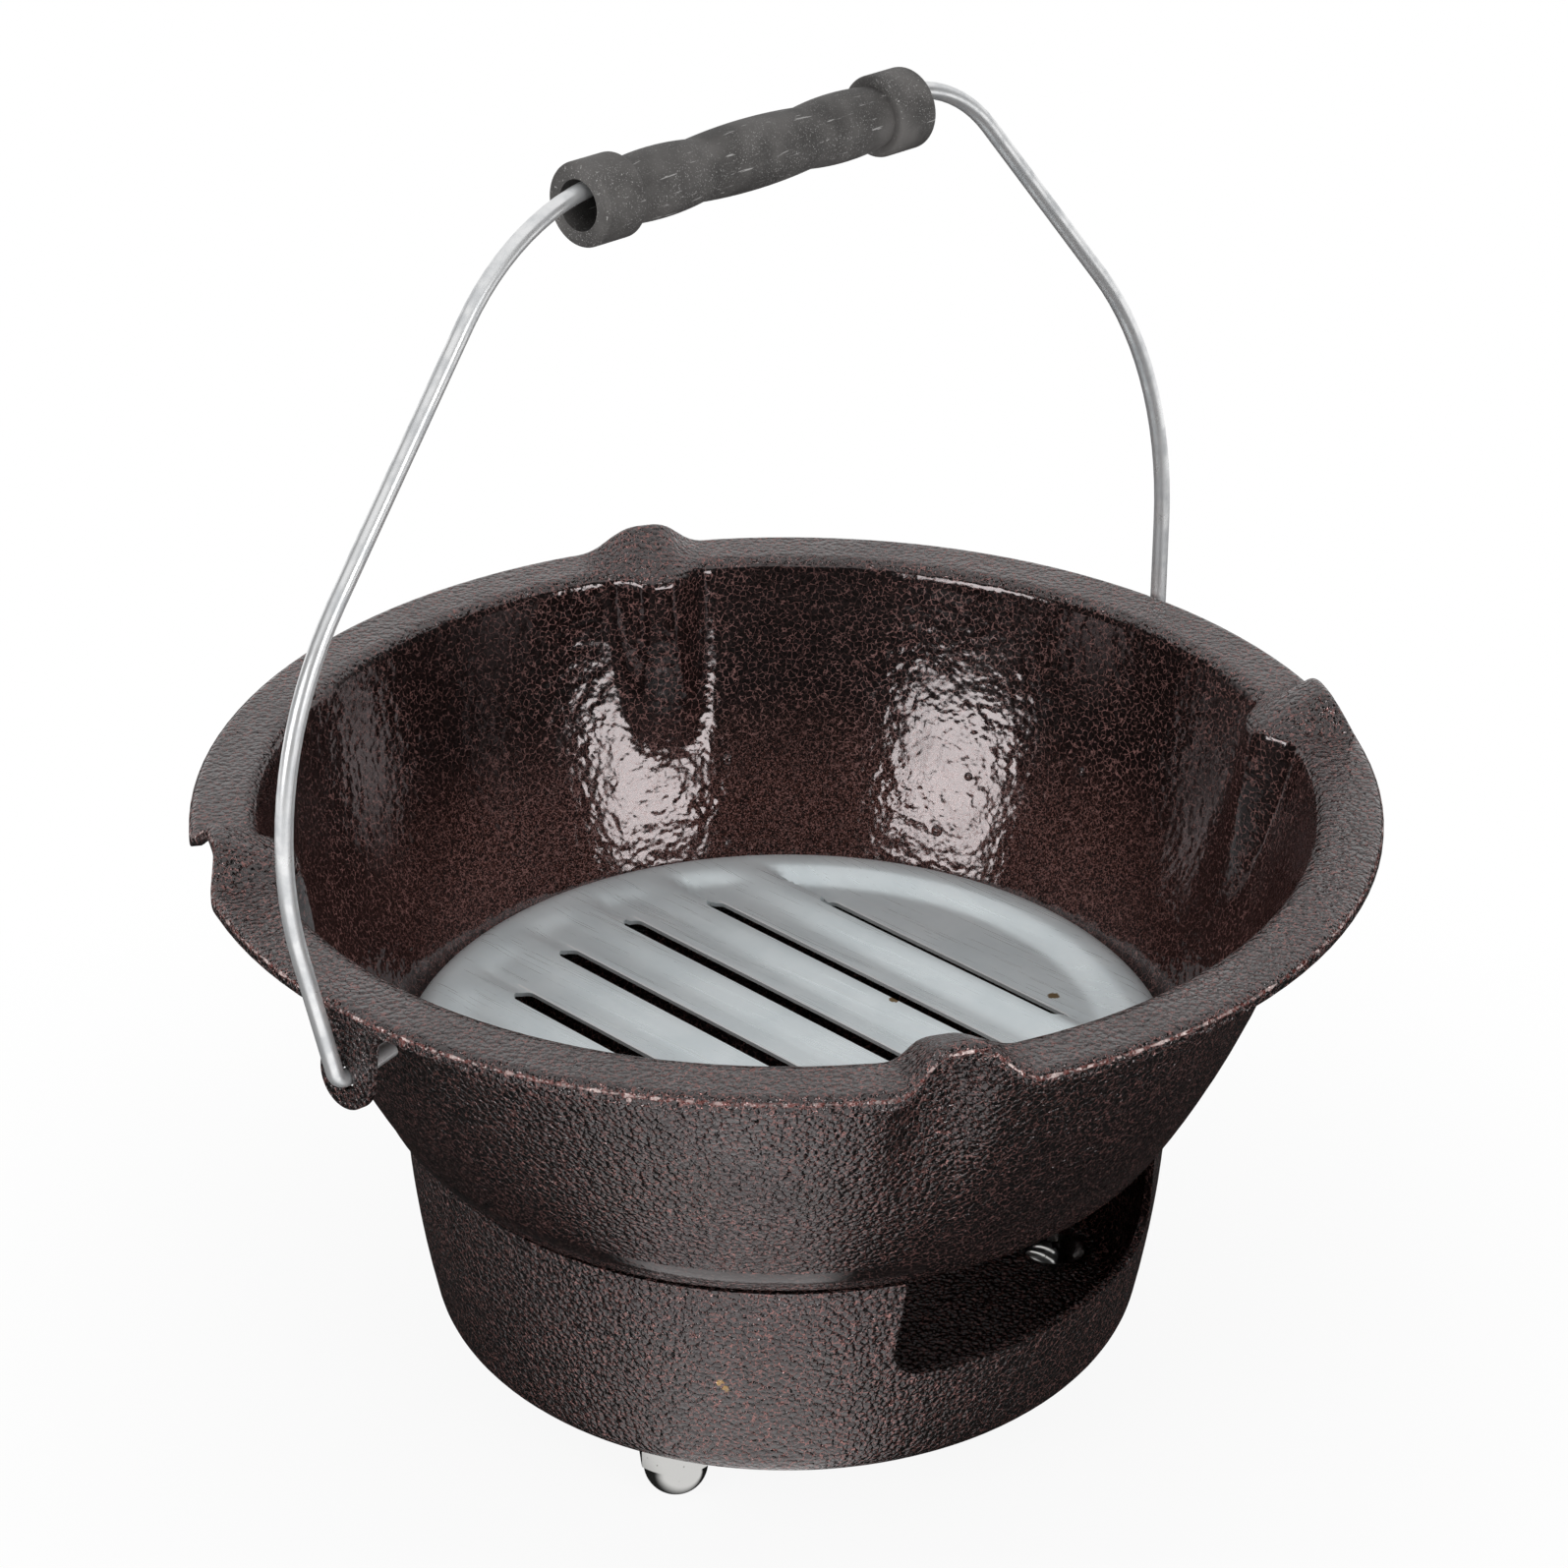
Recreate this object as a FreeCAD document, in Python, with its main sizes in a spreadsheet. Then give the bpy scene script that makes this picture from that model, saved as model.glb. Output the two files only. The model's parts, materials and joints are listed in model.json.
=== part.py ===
"""Charcoal stove: a pressed fire bowl with pot rests on a vented base drum.

A loose louvred grate lies in the bowl, a wire bail with a moulded grip swings in two ears under
the rim, and three screws with domed nuts make the feet. Millimetres and degrees, +Z up, the
origin on the floor below the middle of the bowl, the bail's ears on X and the vent towards -Y.
"""

import FreeCAD, Part
import math
import os

import Sketcher
from FreeCAD import Placement, Rotation, Vector

# Driving dimensions, each with the piece that it belongs to
SIZES = {
    # fire bowl
    "rim_height": 158.0,
    "rim_dia": 280.0,
    "mouth_dia": 247.6,
    "sheet_gauge": 2.0,
    "rim_edge_round": 2.4,
    "lip_drop": 3.6,
    "rim_turn": 4.0,
    "wall_lean": 12.0,
    "bowl_depth": 81.6,
    "ledge_dia": 174.2,
    "bowl_corner": 12.0,
    "ash_hole_dia": 152.0,
    # pot rests pressed into the rim and the wall
    "rest_count": 4,
    "rest_turn": -31.0,
    "rest_height": 7.5,
    "rest_mouth_lift": 0.6,
    "rest_width": 33.0,
    "rest_crest_share": 0.15,
    "rest_edge_pull": 3.5,
    "rest_inner_bulge": 7.5,
    "rest_flute_end": 55.0,
    # base drum
    "drum_turn": -3.0,
    "drum_mouth_dia": 186.0,
    "drum_lean": 1.7,
    "drum_wall_arc": 290.0,
    "drum_corner": 11.5,
    "drum_floor": 18.0,
    "seam_gap": 0.05,
    "vent_width": 84.0,
    "vent_sill": 49.5,
    "vent_flare": 5.0,
    "vent_corner": 8.0,
    # feet
    "foot_count": 3,
    "foot_inset": 8.0,
    "foot_turn": -66.9,
    "screw_dia": 10.0,
    "screw_length": 10.5,
    "screw_head_dia": 16.0,
    "screw_head_side": 1.8,
    "screw_head_height": 4.6,
    "recess_span": 8.0,
    "recess_width": 2.4,
    "recess_depth": 2.4,
    "nut_across_flats": 17.0,
    "nut_hex_height": 8.0,
    "nut_dome_dia": 15.5,
    "nut_chamfer": 1.1,
    "nut_chamfer_rise": 0.6,
    "nut_bore_depth": 9.5,
    "screw_hole_gap": 0.3,
    "thread_gap": 0.05,
    # ears
    "ear_setback": 1.5,
    "ear_width": 16.0,
    "ear_flare": 6.5,
    "ear_hole_dia": 5.4,
    "ear_hole_drop": 18.8,
    "ear_tail": 7.8,
    "ear_leg": 7.0,
    "ear_bend": 2.6,
    "ear_lip_gap": 0.4,
    # bail
    "bail_lean": 5.0,
    "wire_dia": 4.0,
    "hook_reach": 125.3,
    "hook_rise": 1.5,
    "hook_corner": 136.0,
    "hook_bend": 5.0,
    "foot_corner": 141.4,
    "foot_bend": 3.0,
    "left_shoulder_reach": 155.2,
    "left_shoulder_rise": 74.8,
    "left_shoulder_bend": 89.0,
    "left_top_reach": 64.7,
    "left_top_rise": 177.3,
    "left_top_bend": 59.0,
    "right_shoulder_reach": 150.1,
    "right_shoulder_rise": 77.0,
    "right_shoulder_bend": 97.0,
    "right_top_reach": 74.3,
    "right_top_rise": 170.8,
    "right_top_bend": 42.0,
    # grip
    "grip_length": 106.0,
    "grip_shift": 5.3,
    "grip_collar_dia": 19.0,
    "grip_collar_width": 12.0,
    "grip_collar_round": 1.2,
    "grip_swell_dia": 15.9,
    "grip_waist_dia": 14.2,
    "grip_end_swell": 23.5,
    "grip_bore_dia": 11.5,
    "grip_play": 0.06,
    # grate
    "grate_turn": -2.0,
    "grate_dia": 189.0,
    "grate_gauge": 1.0,
    "grate_depth": 7.8,
    "grate_shoulder": 7.0,
    "grate_seat_gap": 0.2,
    "slot_count": 6,
    "slot_pitch": 22.0,
    "slot_width": 6.0,
    "slot_circle_dia": 138.0,
    "step_depth": 3.0,
    "step_flat": 8.0,
    "step_edge_run": 1.0,
    "pocket_dia": 160.0,
    "pocket_wall_run": 6.0,
    # extra reach of every cut past the face that it leaves
    "overrun": 2.0,
}
OUT = "parts"
FULL_TURN = 360.0
RIGHT_ANGLE = 90.0

doc = FreeCAD.newDocument("charcoal_stove")
sheet = doc.addObject("Spreadsheet::Sheet", "Sizes")


def fill_sheet():
    """Write every driving dimension in the sheet and give its cell an alias."""
    for row, (alias, value) in enumerate(SIZES.items(), start=1):
        sheet.set(f"A{row}", alias)
        sheet.set(f"B{row}", str(value))
        sheet.setAlias(f"B{row}", alias)
    doc.recompute()


class Term:
    """A size that knows its number and the expression that binds it to the sheet."""

    def __init__(self, value, text):
        self.value = float(value)
        self.text = text

    def _join(self, other, sign, value):
        return Term(value, f"({self.text} {sign} {as_term(other).text})")

    def __add__(self, other):
        return self._join(other, "+", self.value + as_term(other).value)

    def __sub__(self, other):
        return self._join(other, "-", self.value - as_term(other).value)

    def __mul__(self, other):
        return self._join(other, "*", self.value * as_term(other).value)

    def __truediv__(self, other):
        return self._join(other, "/", self.value / as_term(other).value)

    def __neg__(self):
        return Term(-self.value, f"(0 - {self.text})")


def as_term(value):
    """Return a plain number as a Term."""
    return value if isinstance(value, Term) else Term(value, repr(value))


def size(alias):
    """Return the sheet's cell of that alias as a Term."""
    return Term(sheet.get(alias), f"Sizes.{alias}")


def sine(angle):
    return Term(math.sin(math.radians(angle.value)), f"sin({angle.text} * 1 deg)")


def cosine(angle):
    return Term(math.cos(math.radians(angle.value)), f"cos({angle.text} * 1 deg)")


def tangent(angle):
    return sine(angle) / cosine(angle)


def root(term):
    return Term(math.sqrt(term.value), f"sqrt({term.text})")


def bind(item, prop, term):
    """Drive a property of an object by a Term."""
    item.setExpression(prop, term.text)


class Draft:
    """A sketch whose corners, radii and circles are bound to the sheet."""

    def __init__(self, body, name, role):
        self.sketch = body.newObject("Sketcher::SketchObject", name)
        plane = next(item for item in body.Origin.OriginFeatures if item.Role == role)
        self.sketch.AttachmentSupport = [(plane, "")]
        self.sketch.MapMode = "FlatFace"

    def _fix(self, kind, geo, pos, term):
        """Hold one coordinate of a point at a Term, or on the axis where it is zero."""
        if term.value == 0:
            axis = -2 if kind == "DistanceX" else -1
            self.sketch.addConstraint(Sketcher.Constraint("PointOnObject", geo, pos, axis))
            return
        index = self.sketch.addConstraint(Sketcher.Constraint(kind, geo, pos, term.value))
        bind(self.sketch, f"Constraints[{index}]", term)

    def place(self, geo, pos, point):
        self._fix("DistanceX", geo, pos, as_term(point[0]))
        self._fix("DistanceY", geo, pos, as_term(point[1]))

    def radius(self, geo, term):
        index = self.sketch.addConstraint(Sketcher.Constraint("Radius", geo, term.value))
        bind(self.sketch, f"Constraints[{index}]", term)

    def circle(self, centre, term):
        x, y = as_term(centre[0]), as_term(centre[1])
        shape = Part.Circle(Vector(x.value, y.value, 0), Vector(0, 0, 1), term.value)
        geo = self.sketch.addGeometry(shape, False)
        self.place(geo, 3, (x, y))
        self.radius(geo, term)

    def _edge(self, start, end, bend):
        """Add a line, or an arc: its centre on the left (1) or right (-1), its radius or None for a half turn."""
        first = Vector(as_term(start[0]).value, as_term(start[1]).value, 0)
        last = Vector(as_term(end[0]).value, as_term(end[1]).value, 0)
        if bend is None:
            return self.sketch.addGeometry(Part.LineSegment(first, last), False), 1, 2
        side, term = bend
        middle, half = (first + last) / 2, (last - first).Length / 2
        level = term is None
        if level:
            term = Term(half, "")
        rise = math.sqrt(max(term.value**2 - half**2, 0))
        along = (last - first).normalize()
        centre = middle + Vector(-along.y, along.x, 0) * rise * side
        start_angle = math.atan2(first.y - centre.y, first.x - centre.x)
        end_angle = math.atan2(last.y - centre.y, last.x - centre.x)
        ring = Part.Circle(centre, Vector(0, 0, 1), term.value)
        if side > 0:
            arc = Part.ArcOfCircle(ring, start_angle, end_angle)
            ends = (1, 2)
        else:
            arc = Part.ArcOfCircle(ring, end_angle, start_angle)
            ends = (2, 1)
        geo = self.sketch.addGeometry(arc, False)
        if level:
            self._fix("DistanceY", geo, 3, as_term(start[1]))
        else:
            self.radius(geo, term)
        return geo, *ends

    def outline(self, corners):
        """Draw a closed outline: each corner is (x, y) or (x, y, (side, radius)) for the edge after it."""
        points = [corner[:2] for corner in corners]
        bends = [corner[2] if len(corner) > 2 else None for corner in corners]
        edges = []
        for index, bend in enumerate(bends):
            following = points[(index + 1) % len(points)]
            edges.append(self._edge(points[index], following, bend))
        for index, (geo, start, end) in enumerate(edges):
            after, after_start, _ = edges[(index + 1) % len(edges)]
            self.sketch.addConstraint(Sketcher.Constraint("Coincident", geo, end, after, after_start))
            self.place(geo, start, points[index])

    def bent_path(self, corners, bends):
        """Draw straight runs through the corners, joined by tangent arcs of the given radii."""
        places = [Vector(as_term(x).value, as_term(y).value, 0) for x, y in corners]
        starts, stops = [places[0]], []
        for index, bend in enumerate(bends, start=1):
            into = (places[index - 1] - places[index]).normalize()
            out = (places[index + 1] - places[index]).normalize()
            reach = bend.value / math.tan(into.getAngle(out) / 2)
            stops.append(places[index] + into * reach)
            starts.append(places[index] + out * reach)
        stops.append(places[-1])
        add = self.sketch.addConstraint
        runs = [self.sketch.addGeometry(Part.LineSegment(a, b), False) for a, b in zip(starts, stops)]
        self.place(runs[0], 1, corners[0])
        self.place(runs[-1], 2, corners[-1])
        for index, bend in enumerate(bends, start=1):
            before, after = stops[index - 1], starts[index]
            turn = (places[index] - places[index - 1]).cross(places[index + 1] - places[index]).z
            side = 1 if turn > 0 else -1
            geo, first, last = self._edge((before.x, before.y), (after.x, after.y), (side, bend))
            knot = self.sketch.addGeometry(Part.Point(places[index]), True)
            self.place(knot, 1, corners[index])
            add(Sketcher.Constraint("PointOnObject", knot, 1, runs[index - 1]))
            add(Sketcher.Constraint("PointOnObject", knot, 1, runs[index]))
            add(Sketcher.Constraint("Tangent", runs[index - 1], 2, geo, first))
            add(Sketcher.Constraint("Tangent", geo, last, runs[index], 1))


def new_body(name):
    """Return a new body whose label names its file."""
    body = doc.addObject("PartDesign::Body", name)
    body.Label = name
    return body


def revolve(body, draft, kind="PartDesign::Revolution", name="turned"):
    """Turn a sketch once round its vertical axis."""
    feature = body.newObject(kind, name)
    feature.Profile = draft.sketch
    feature.ReferenceAxis = (draft.sketch, ["V_Axis"])
    feature.Angle = FULL_TURN
    body.Tip = feature
    doc.recompute()
    return feature


def pad(body, draft, length, name="pad", both_ways=False, reverse=False):
    """Pad a sketch by a Term, to one side or evenly to both."""
    feature = body.newObject("PartDesign::Pad", name)
    feature.Profile = draft.sketch
    feature.Midplane = both_ways
    feature.Reversed = reverse
    bind(feature, "Length", length)
    body.Tip = feature
    doc.recompute()
    return feature


def pocket(body, draft, length, name="pocket", both_ways=False, reverse=False):
    """Pocket a sketch by a Term and make sure that it cuts."""
    before = body.Shape.Volume
    feature = body.newObject("PartDesign::Pocket", name)
    feature.Profile = draft.sketch
    feature.Midplane = both_ways
    feature.Reversed = reverse
    bind(feature, "Length", length)
    body.Tip = feature
    doc.recompute()
    if feature.Shape.Volume >= before:
        raise RuntimeError(f"{name} of {body.Label} cuts nothing")
    return feature


def around(body, feature, count, name="round"):
    """Repeat a feature evenly round the vertical axis of its sketch."""
    pattern = body.newObject("PartDesign::PolarPattern", name)
    pattern.Originals = [feature]
    pattern.Axis = (feature.Profile[0], ["N_Axis"])
    pattern.Angle = FULL_TURN
    bind(pattern, "Occurrences", count)
    body.Tip = pattern
    doc.recompute()
    return pattern


def boolean(kind, name, base, tool):
    """Combine two objects with a Part boolean."""
    item = doc.addObject(f"Part::{kind}", name)
    item.Base = base
    item.Tool = tool
    return item


def turn_by(item, axis, turn):
    """Turn an object about an axis by a Term, as a positive angle."""
    if turn.value < 0:
        axis, turn = -axis, -turn
    item.Placement = Placement(Vector(0, 0, 0), Rotation(axis, turn.value))
    bind(item, "Placement.Rotation.Angle", turn)


def stand(item, turn=None, rise=None):
    """Place an object: turned about +Z and lifted by Terms."""
    if turn is not None and turn.value != 0:
        turn_by(item, Vector(0, 0, 1), turn)
    if rise is not None:
        bind(item, "Placement.Base.z", rise)


# Fire bowl


class BowlProfile:
    """The bowl's wall section, as pressed, at any share of a pot rest's height."""

    WALL_POINTS = 5

    def __init__(self):
        self.gauge = sheet.sheet_gauge
        self.lean = math.radians(sheet.wall_lean)
        self.inward = Vector(-math.cos(self.lean), 0, math.sin(self.lean))
        self.top_inside = Vector(sheet.mouth_dia / 2, 0, sheet.rim_height)
        self.top_inside.z -= sheet.rim_turn * (1 - math.sin(self.lean))
        self.turn_centre = self.top_inside - self.inward * sheet.rim_turn
        self.corner_centre = Vector(sheet.ledge_dia / 2, 0, 0)
        self.corner_centre.z = sheet.rim_height - sheet.bowl_depth + sheet.bowl_corner
        outside = self.top_inside - self.inward * self.gauge
        across = outside - self.corner_centre
        corner = sheet.bowl_corner
        slack = 2 * (self.inward.dot(across) + corner)
        self.wall_arc = (corner**2 - across.dot(across)) / slack
        self.wall_centre = outside + self.inward * self.wall_arc
        down = (self.corner_centre - self.wall_centre).normalize()
        self.corner_angle = math.asin(-down.z)
        self.top_angle = self.lean
        drop = self.wall_centre.z - (sheet.rim_height - sheet.rest_flute_end)
        self.flute_angle = math.asin(drop / self.wall_arc)

    def wall_point(self, angle, depth):
        """Return a point of the wall arc, depth inside the bowl's outer face."""
        reach = self.wall_arc - depth
        return self.wall_centre + Vector(math.cos(angle), 0, -math.sin(angle)) * reach

    def pressed(self, share, fade):
        """Return how far a pot rest moves the wall at a share of its height."""
        push = Vector(-sheet.rest_inner_bulge, 0, sheet.rest_mouth_lift)
        return push * (share * fade)

    def top_slope(self, edge_centre, turn):
        """Return how far the rim's top falls inwards between its two rounds."""
        across = edge_centre - turn
        rise = math.atan2(across.z, across.x)
        return rise - math.asin((sheet.rim_turn - sheet.rim_edge_round) / across.Length)

    def wall_curve(self, share, depth):
        """Return the fluted upper wall as a curve from the rim down to the flute's end."""
        points = []
        for index in range(self.WALL_POINTS):
            step = index / (self.WALL_POINTS - 1)
            angle = self.top_angle + (self.flute_angle - self.top_angle) * step
            fade = (1 + math.cos(math.pi * step)) / 2
            points.append(self.wall_point(angle, depth) + self.pressed(share, fade))
        slopes = []
        for angle in (self.top_angle, self.flute_angle):
            slopes.append(Vector(-math.sin(angle), 0, -math.cos(angle)))
        curve = Part.BSplineCurve()
        curve.interpolate(points, InitialTangent=slopes[0], FinalTangent=slopes[1])
        return curve.toShape(), points[0], points[-1]

    def arc(self, centre, radius, start, end):
        """Return an arc about a centre, its angles measured down from the level."""
        places = []
        for angle in (start, (start + end) / 2, end):
            places.append(centre + Vector(math.cos(angle), 0, -math.sin(angle)) * radius)
        return Part.Arc(*places).toShape(), places[0], places[-1]

    def section(self, share):
        """Return the closed wire of the sheet's section at a share of a pot rest's height."""
        gauge, quarter = self.gauge, math.pi / 2
        lift = Vector(-sheet.rest_edge_pull, 0, sheet.rest_height) * share
        edge = Vector(sheet.rim_dia / 2, 0, sheet.rim_height) + lift
        round_in = sheet.rim_edge_round
        edge_centre = edge - Vector(round_in, 0, round_in)
        turn = self.turn_centre + self.pressed(share, 1)
        wall_in, wall_in_top, wall_in_end = self.wall_curve(share, gauge)
        wall_out, wall_out_top, wall_out_end = self.wall_curve(share, 0)
        slope = self.top_slope(edge_centre, turn)
        start, end = math.pi + self.lean, math.pi + quarter - slope
        roll, roll_top, roll_side = self.arc(edge_centre, round_in, -quarter - slope, 0)
        bend, _, bend_top = self.arc(turn, sheet.rim_turn, start, end)
        under, _, under_top = self.arc(turn, sheet.rim_turn - gauge, start, end)
        low_in, _, low_in_end = self.arc(
            self.wall_centre, self.wall_arc - gauge, self.flute_angle, self.corner_angle)
        low_out, _, low_out_end = self.arc(
            self.wall_centre, self.wall_arc, self.flute_angle, self.corner_angle)
        corner_in, _, floor_in = self.arc(
            self.corner_centre, sheet.bowl_corner - gauge, self.corner_angle, quarter)
        corner_out, _, floor_out = self.arc(
            self.corner_centre, sheet.bowl_corner, self.corner_angle, quarter)
        hole_in = Vector(sheet.ash_hole_dia / 2, 0, floor_in.z)
        hole_out = Vector(hole_in.x, 0, floor_out.z)
        lip_out = edge - Vector(0, 0, sheet.lip_drop)
        lip_in = lip_out - Vector(gauge, 0, 0)
        lip_corner = Vector(lip_in.x, 0, under_top.z)
        lip_corner.z += (lip_in.x - under_top.x) * math.tan(slope)
        edges = [
            Part.LineSegment(lip_out, roll_side).toShape(), roll,
            Part.LineSegment(roll_top, bend_top).toShape(), bend, wall_in, low_in, corner_in,
            Part.LineSegment(floor_in, hole_in).toShape(), Part.LineSegment(hole_in, hole_out).toShape(),
            Part.LineSegment(hole_out, floor_out).toShape(), corner_out, low_out, wall_out, under,
            Part.LineSegment(under_top, lip_corner).toShape(),
            Part.LineSegment(lip_corner, lip_in).toShape(), Part.LineSegment(lip_in, lip_out).toShape(),
        ]
        return Part.Wire(Part.sortEdges(edges)[0])


def turned(shape, degrees):
    """Return a copy of a shape turned about +Z."""
    copy = shape.copy()
    copy.rotate(Vector(0, 0, 0), Vector(0, 0, 1), degrees)
    return copy


def make_fire_bowl():
    """Press the bowl: lofts through the sheet's sections for the pot rests, turned wall between."""
    profile = BowlProfile()
    half_angle = math.degrees(sheet.rest_width / sheet.rim_dia)
    margin_share = 0.2
    steps = 4
    plain = profile.section(0)
    reach = half_angle * (1 + margin_share)
    pitch = FULL_TURN / sheet.rest_count
    pieces = []
    for number in range(int(sheet.rest_count)):
        middle = sheet.rest_turn - RIGHT_ANGLE + number * pitch
        sections = []
        for index in range(-steps, steps + 1):
            offset = (1 + margin_share) * index / steps
            away = (abs(offset) - sheet.rest_crest_share) / (1 - sheet.rest_crest_share)
            share = (1 + math.cos(math.pi * min(max(away, 0), 1))) / 2
            sections.append(turned(profile.section(share), middle + offset * half_angle))
        pieces.append(Part.makeLoft(sections, True, False))
        arc = Part.Face(turned(plain, middle + reach))
        pieces.append(arc.revolve(Vector(0, 0, 0), Vector(0, 0, 1), pitch - 2 * reach))
    item = doc.addObject("Part::Feature", "fire_bowl")
    item.Label = "fire_bowl"
    bowl = pieces[0].multiFuse(pieces[1:]).removeSplitter()
    item.Shape = bowl.Solids[0] if len(bowl.Solids) == 1 else bowl
    item.Placement = Placement(Vector(0, 0, 0), Rotation(0, 0, 0))
    return item


# Base drum


class DrumSizes:
    """Terms of the drum's wall: a shallow arc that runs into a tighter floor corner."""

    def __init__(self):
        self.gauge = size("sheet_gauge")
        self.floor = size("drum_floor")
        self.mouth = size("drum_mouth_dia") / 2
        corner = size("bowl_corner")
        reach = self.mouth - self.gauge - size("ledge_dia") / 2
        seat = size("rim_height") - size("bowl_depth") + corner
        self.top = seat - root(corner * corner - reach * reach) - size("seam_gap") - self.gauge * sine(
            size("drum_lean"))
        self.arc = size("drum_wall_arc")
        self.corner = size("drum_corner")
        self.centre_x = self.mouth - self.arc * cosine(size("drum_lean"))
        self.centre_z = self.top + self.arc * sine(size("drum_lean"))
        gap = self.arc - self.corner
        self.sine = (self.centre_z - self.floor - self.corner) / gap
        self.cosine = root(as_term(1) - self.sine * self.sine)
        self.flat = self.centre_x + gap * self.cosine
        self.foot_ring = self.flat - size("foot_inset")

    def wall_foot(self, depth):
        """Return where the wall's arc runs into the corner, depth inside the outer face."""
        reach = self.arc - depth
        return self.centre_x + reach * self.cosine, self.centre_z - reach * self.sine

    def wall_head(self, depth):
        """Return the wall's upper end, depth inside the outer face."""
        reach = self.arc - depth
        lean = size("drum_lean")
        return self.centre_x + reach * cosine(lean), self.centre_z - reach * sine(lean)


def make_base_drum():
    """Turn the drum, punch its vent and drill it for the feet."""
    wall = DrumSizes()
    gauge = wall.gauge
    body = new_body("base_drum")
    section = Draft(body, "drum_section", "XZ_Plane")
    section.outline([
        (*wall.wall_head(as_term(0)), (-1, wall.arc)),
        (*wall.wall_foot(as_term(0)), (-1, wall.corner)),
        (wall.flat, wall.floor),
        (0, wall.floor),
        (0, wall.floor + gauge),
        (wall.flat, wall.floor + gauge, (1, wall.corner - gauge)),
        (*wall.wall_foot(gauge), (1, wall.arc - gauge)),
        wall.wall_head(gauge),
    ])
    revolve(body, section)
    half = size("vent_width") / 2
    sill, flare, bend = size("vent_sill"), size("vent_flare"), size("vent_corner")
    head = wall.top + size("overrun")
    low_half = half + (wall.top - sill) * tangent(flare)
    high_half = half - size("overrun") * tangent(flare)
    tail = bend * tangent((as_term(RIGHT_ANGLE) + flare) / 2)
    side_x = low_half - tail * sine(flare)
    side_z = sill + tail * cosine(flare)
    vent = Draft(body, "vent_outline", "XZ_Plane")
    vent.outline([
        (-high_half, head),
        (-side_x, side_z, (1, bend)),
        (tail - low_half, sill),
        (low_half - tail, sill, (1, bend)),
        (side_x, side_z),
        (high_half, head),
    ])
    pocket(body, vent, wall.mouth + size("overrun"), "vent", reverse=True)
    drill = Draft(body, "foot_hole_outline", "XY_Plane")
    turn = size("foot_turn")
    ring = wall.foot_ring
    hole = size("screw_dia") / 2 + size("screw_hole_gap")
    drill.circle((ring * sine(turn), -(ring * cosine(turn))), hole)
    holes = pocket(body, drill, wall.floor + gauge + size("overrun"), "foot_hole", reverse=True)
    around(body, holes, size("foot_count"), "foot_holes")
    stand(body, turn=size("drum_turn"))
    return body


# Feet


def make_foot_screw(name, turn):
    """Turn a pan-head screw, its head on the drum's floor, with a cross recess."""
    body = new_body(name)
    shank, head = size("screw_dia") / 2, size("screw_head_dia") / 2
    side, height = size("screw_head_side"), size("screw_head_height")
    dome = height - side
    crown = (head * head + dome * dome) / (dome * 2)
    section = Draft(body, "screw_section", "XZ_Plane")
    section.outline([
        (0, -size("screw_length")),
        (shank, -size("screw_length")),
        (shank, 0),
        (head, 0),
        (head, side, (1, crown)),
        (0, height),
    ])
    revolve(body, section)
    cross = Draft(body, "recess_outline", "XY_Plane")
    arm, half = size("recess_span") / 2, size("recess_width") / 2
    cross.outline([
        (arm, -half), (arm, half), (half, half), (half, arm), (-half, arm), (-half, half),
        (-arm, half), (-arm, -half), (-half, -half), (-half, -arm), (half, -arm), (half, -half),
    ])
    bind(cross.sketch, "AttachmentOffset.Base.z", height - size("recess_depth"))
    pocket(body, cross, size("recess_depth") + size("overrun"), "recess", reverse=True)
    place_foot(body, turn, size("drum_floor") + size("sheet_gauge"))
    return body


def make_foot_nut(name, turn):
    """Make a domed cap nut that stands on its dome."""
    body = new_body(name)
    flats, corner = size("nut_across_flats") / 2, size("nut_across_flats") / as_term(math.sqrt(3))
    hexagon = size("nut_hex_height")
    prism = Draft(body, "hexagon", "XY_Plane")
    half = corner / 2
    prism.outline([
        (corner, 0), (half, flats), (-half, flats), (-corner, 0), (-half, -flats), (half, -flats),
    ])
    pad(body, prism, hexagon, "hex_body", reverse=True)
    rise, cut = size("nut_chamfer_rise"), size("nut_chamfer")
    over = size("overrun")
    bevel = Draft(body, "bevel_outline", "XZ_Plane")
    bevel.outline([
        (corner - cut, -hexagon), (corner + over, -hexagon), (corner + over, rise - hexagon),
        (corner, rise - hexagon),
    ])
    revolve(body, bevel, "PartDesign::Groove", "bevel")
    dome = size("nut_dome_dia") / 2
    cap = Draft(body, "dome_outline", "XZ_Plane")
    cap.outline([
        (0, -hexagon), (0, -size("drum_floor"), (1, dome)), (dome, dome - size("drum_floor")), (dome, -hexagon),
    ])
    revolve(body, cap, name="dome")
    bore = Draft(body, "bore_outline", "XY_Plane")
    bore.circle((0, 0), size("screw_dia") / 2 + size("thread_gap"))
    pocket(body, bore, size("nut_bore_depth"), "bore")
    place_foot(body, turn, size("drum_floor"))
    return body


def place_foot(body, turn, rise):
    """Stand a foot's piece on its circle, turned with the drum."""
    ring = DrumSizes().foot_ring
    stand(body, turn=turn, rise=rise)
    bind(body, "Placement.Base.x", ring * sine(turn))
    bind(body, "Placement.Base.y", -(ring * cosine(turn)))


def make_feet():
    """Make a screw and a nut for each foot."""
    made = []
    share = as_term(FULL_TURN) / size("foot_count")
    for number, side in enumerate(("left", "right", "back")):
        turn = size("drum_turn") + size("foot_turn") + share * number
        made.append(make_foot_screw(f"foot_screw_{side}", turn))
        made.append(make_foot_nut(f"foot_nut_{side}", turn))
    return made


# Ears


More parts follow.
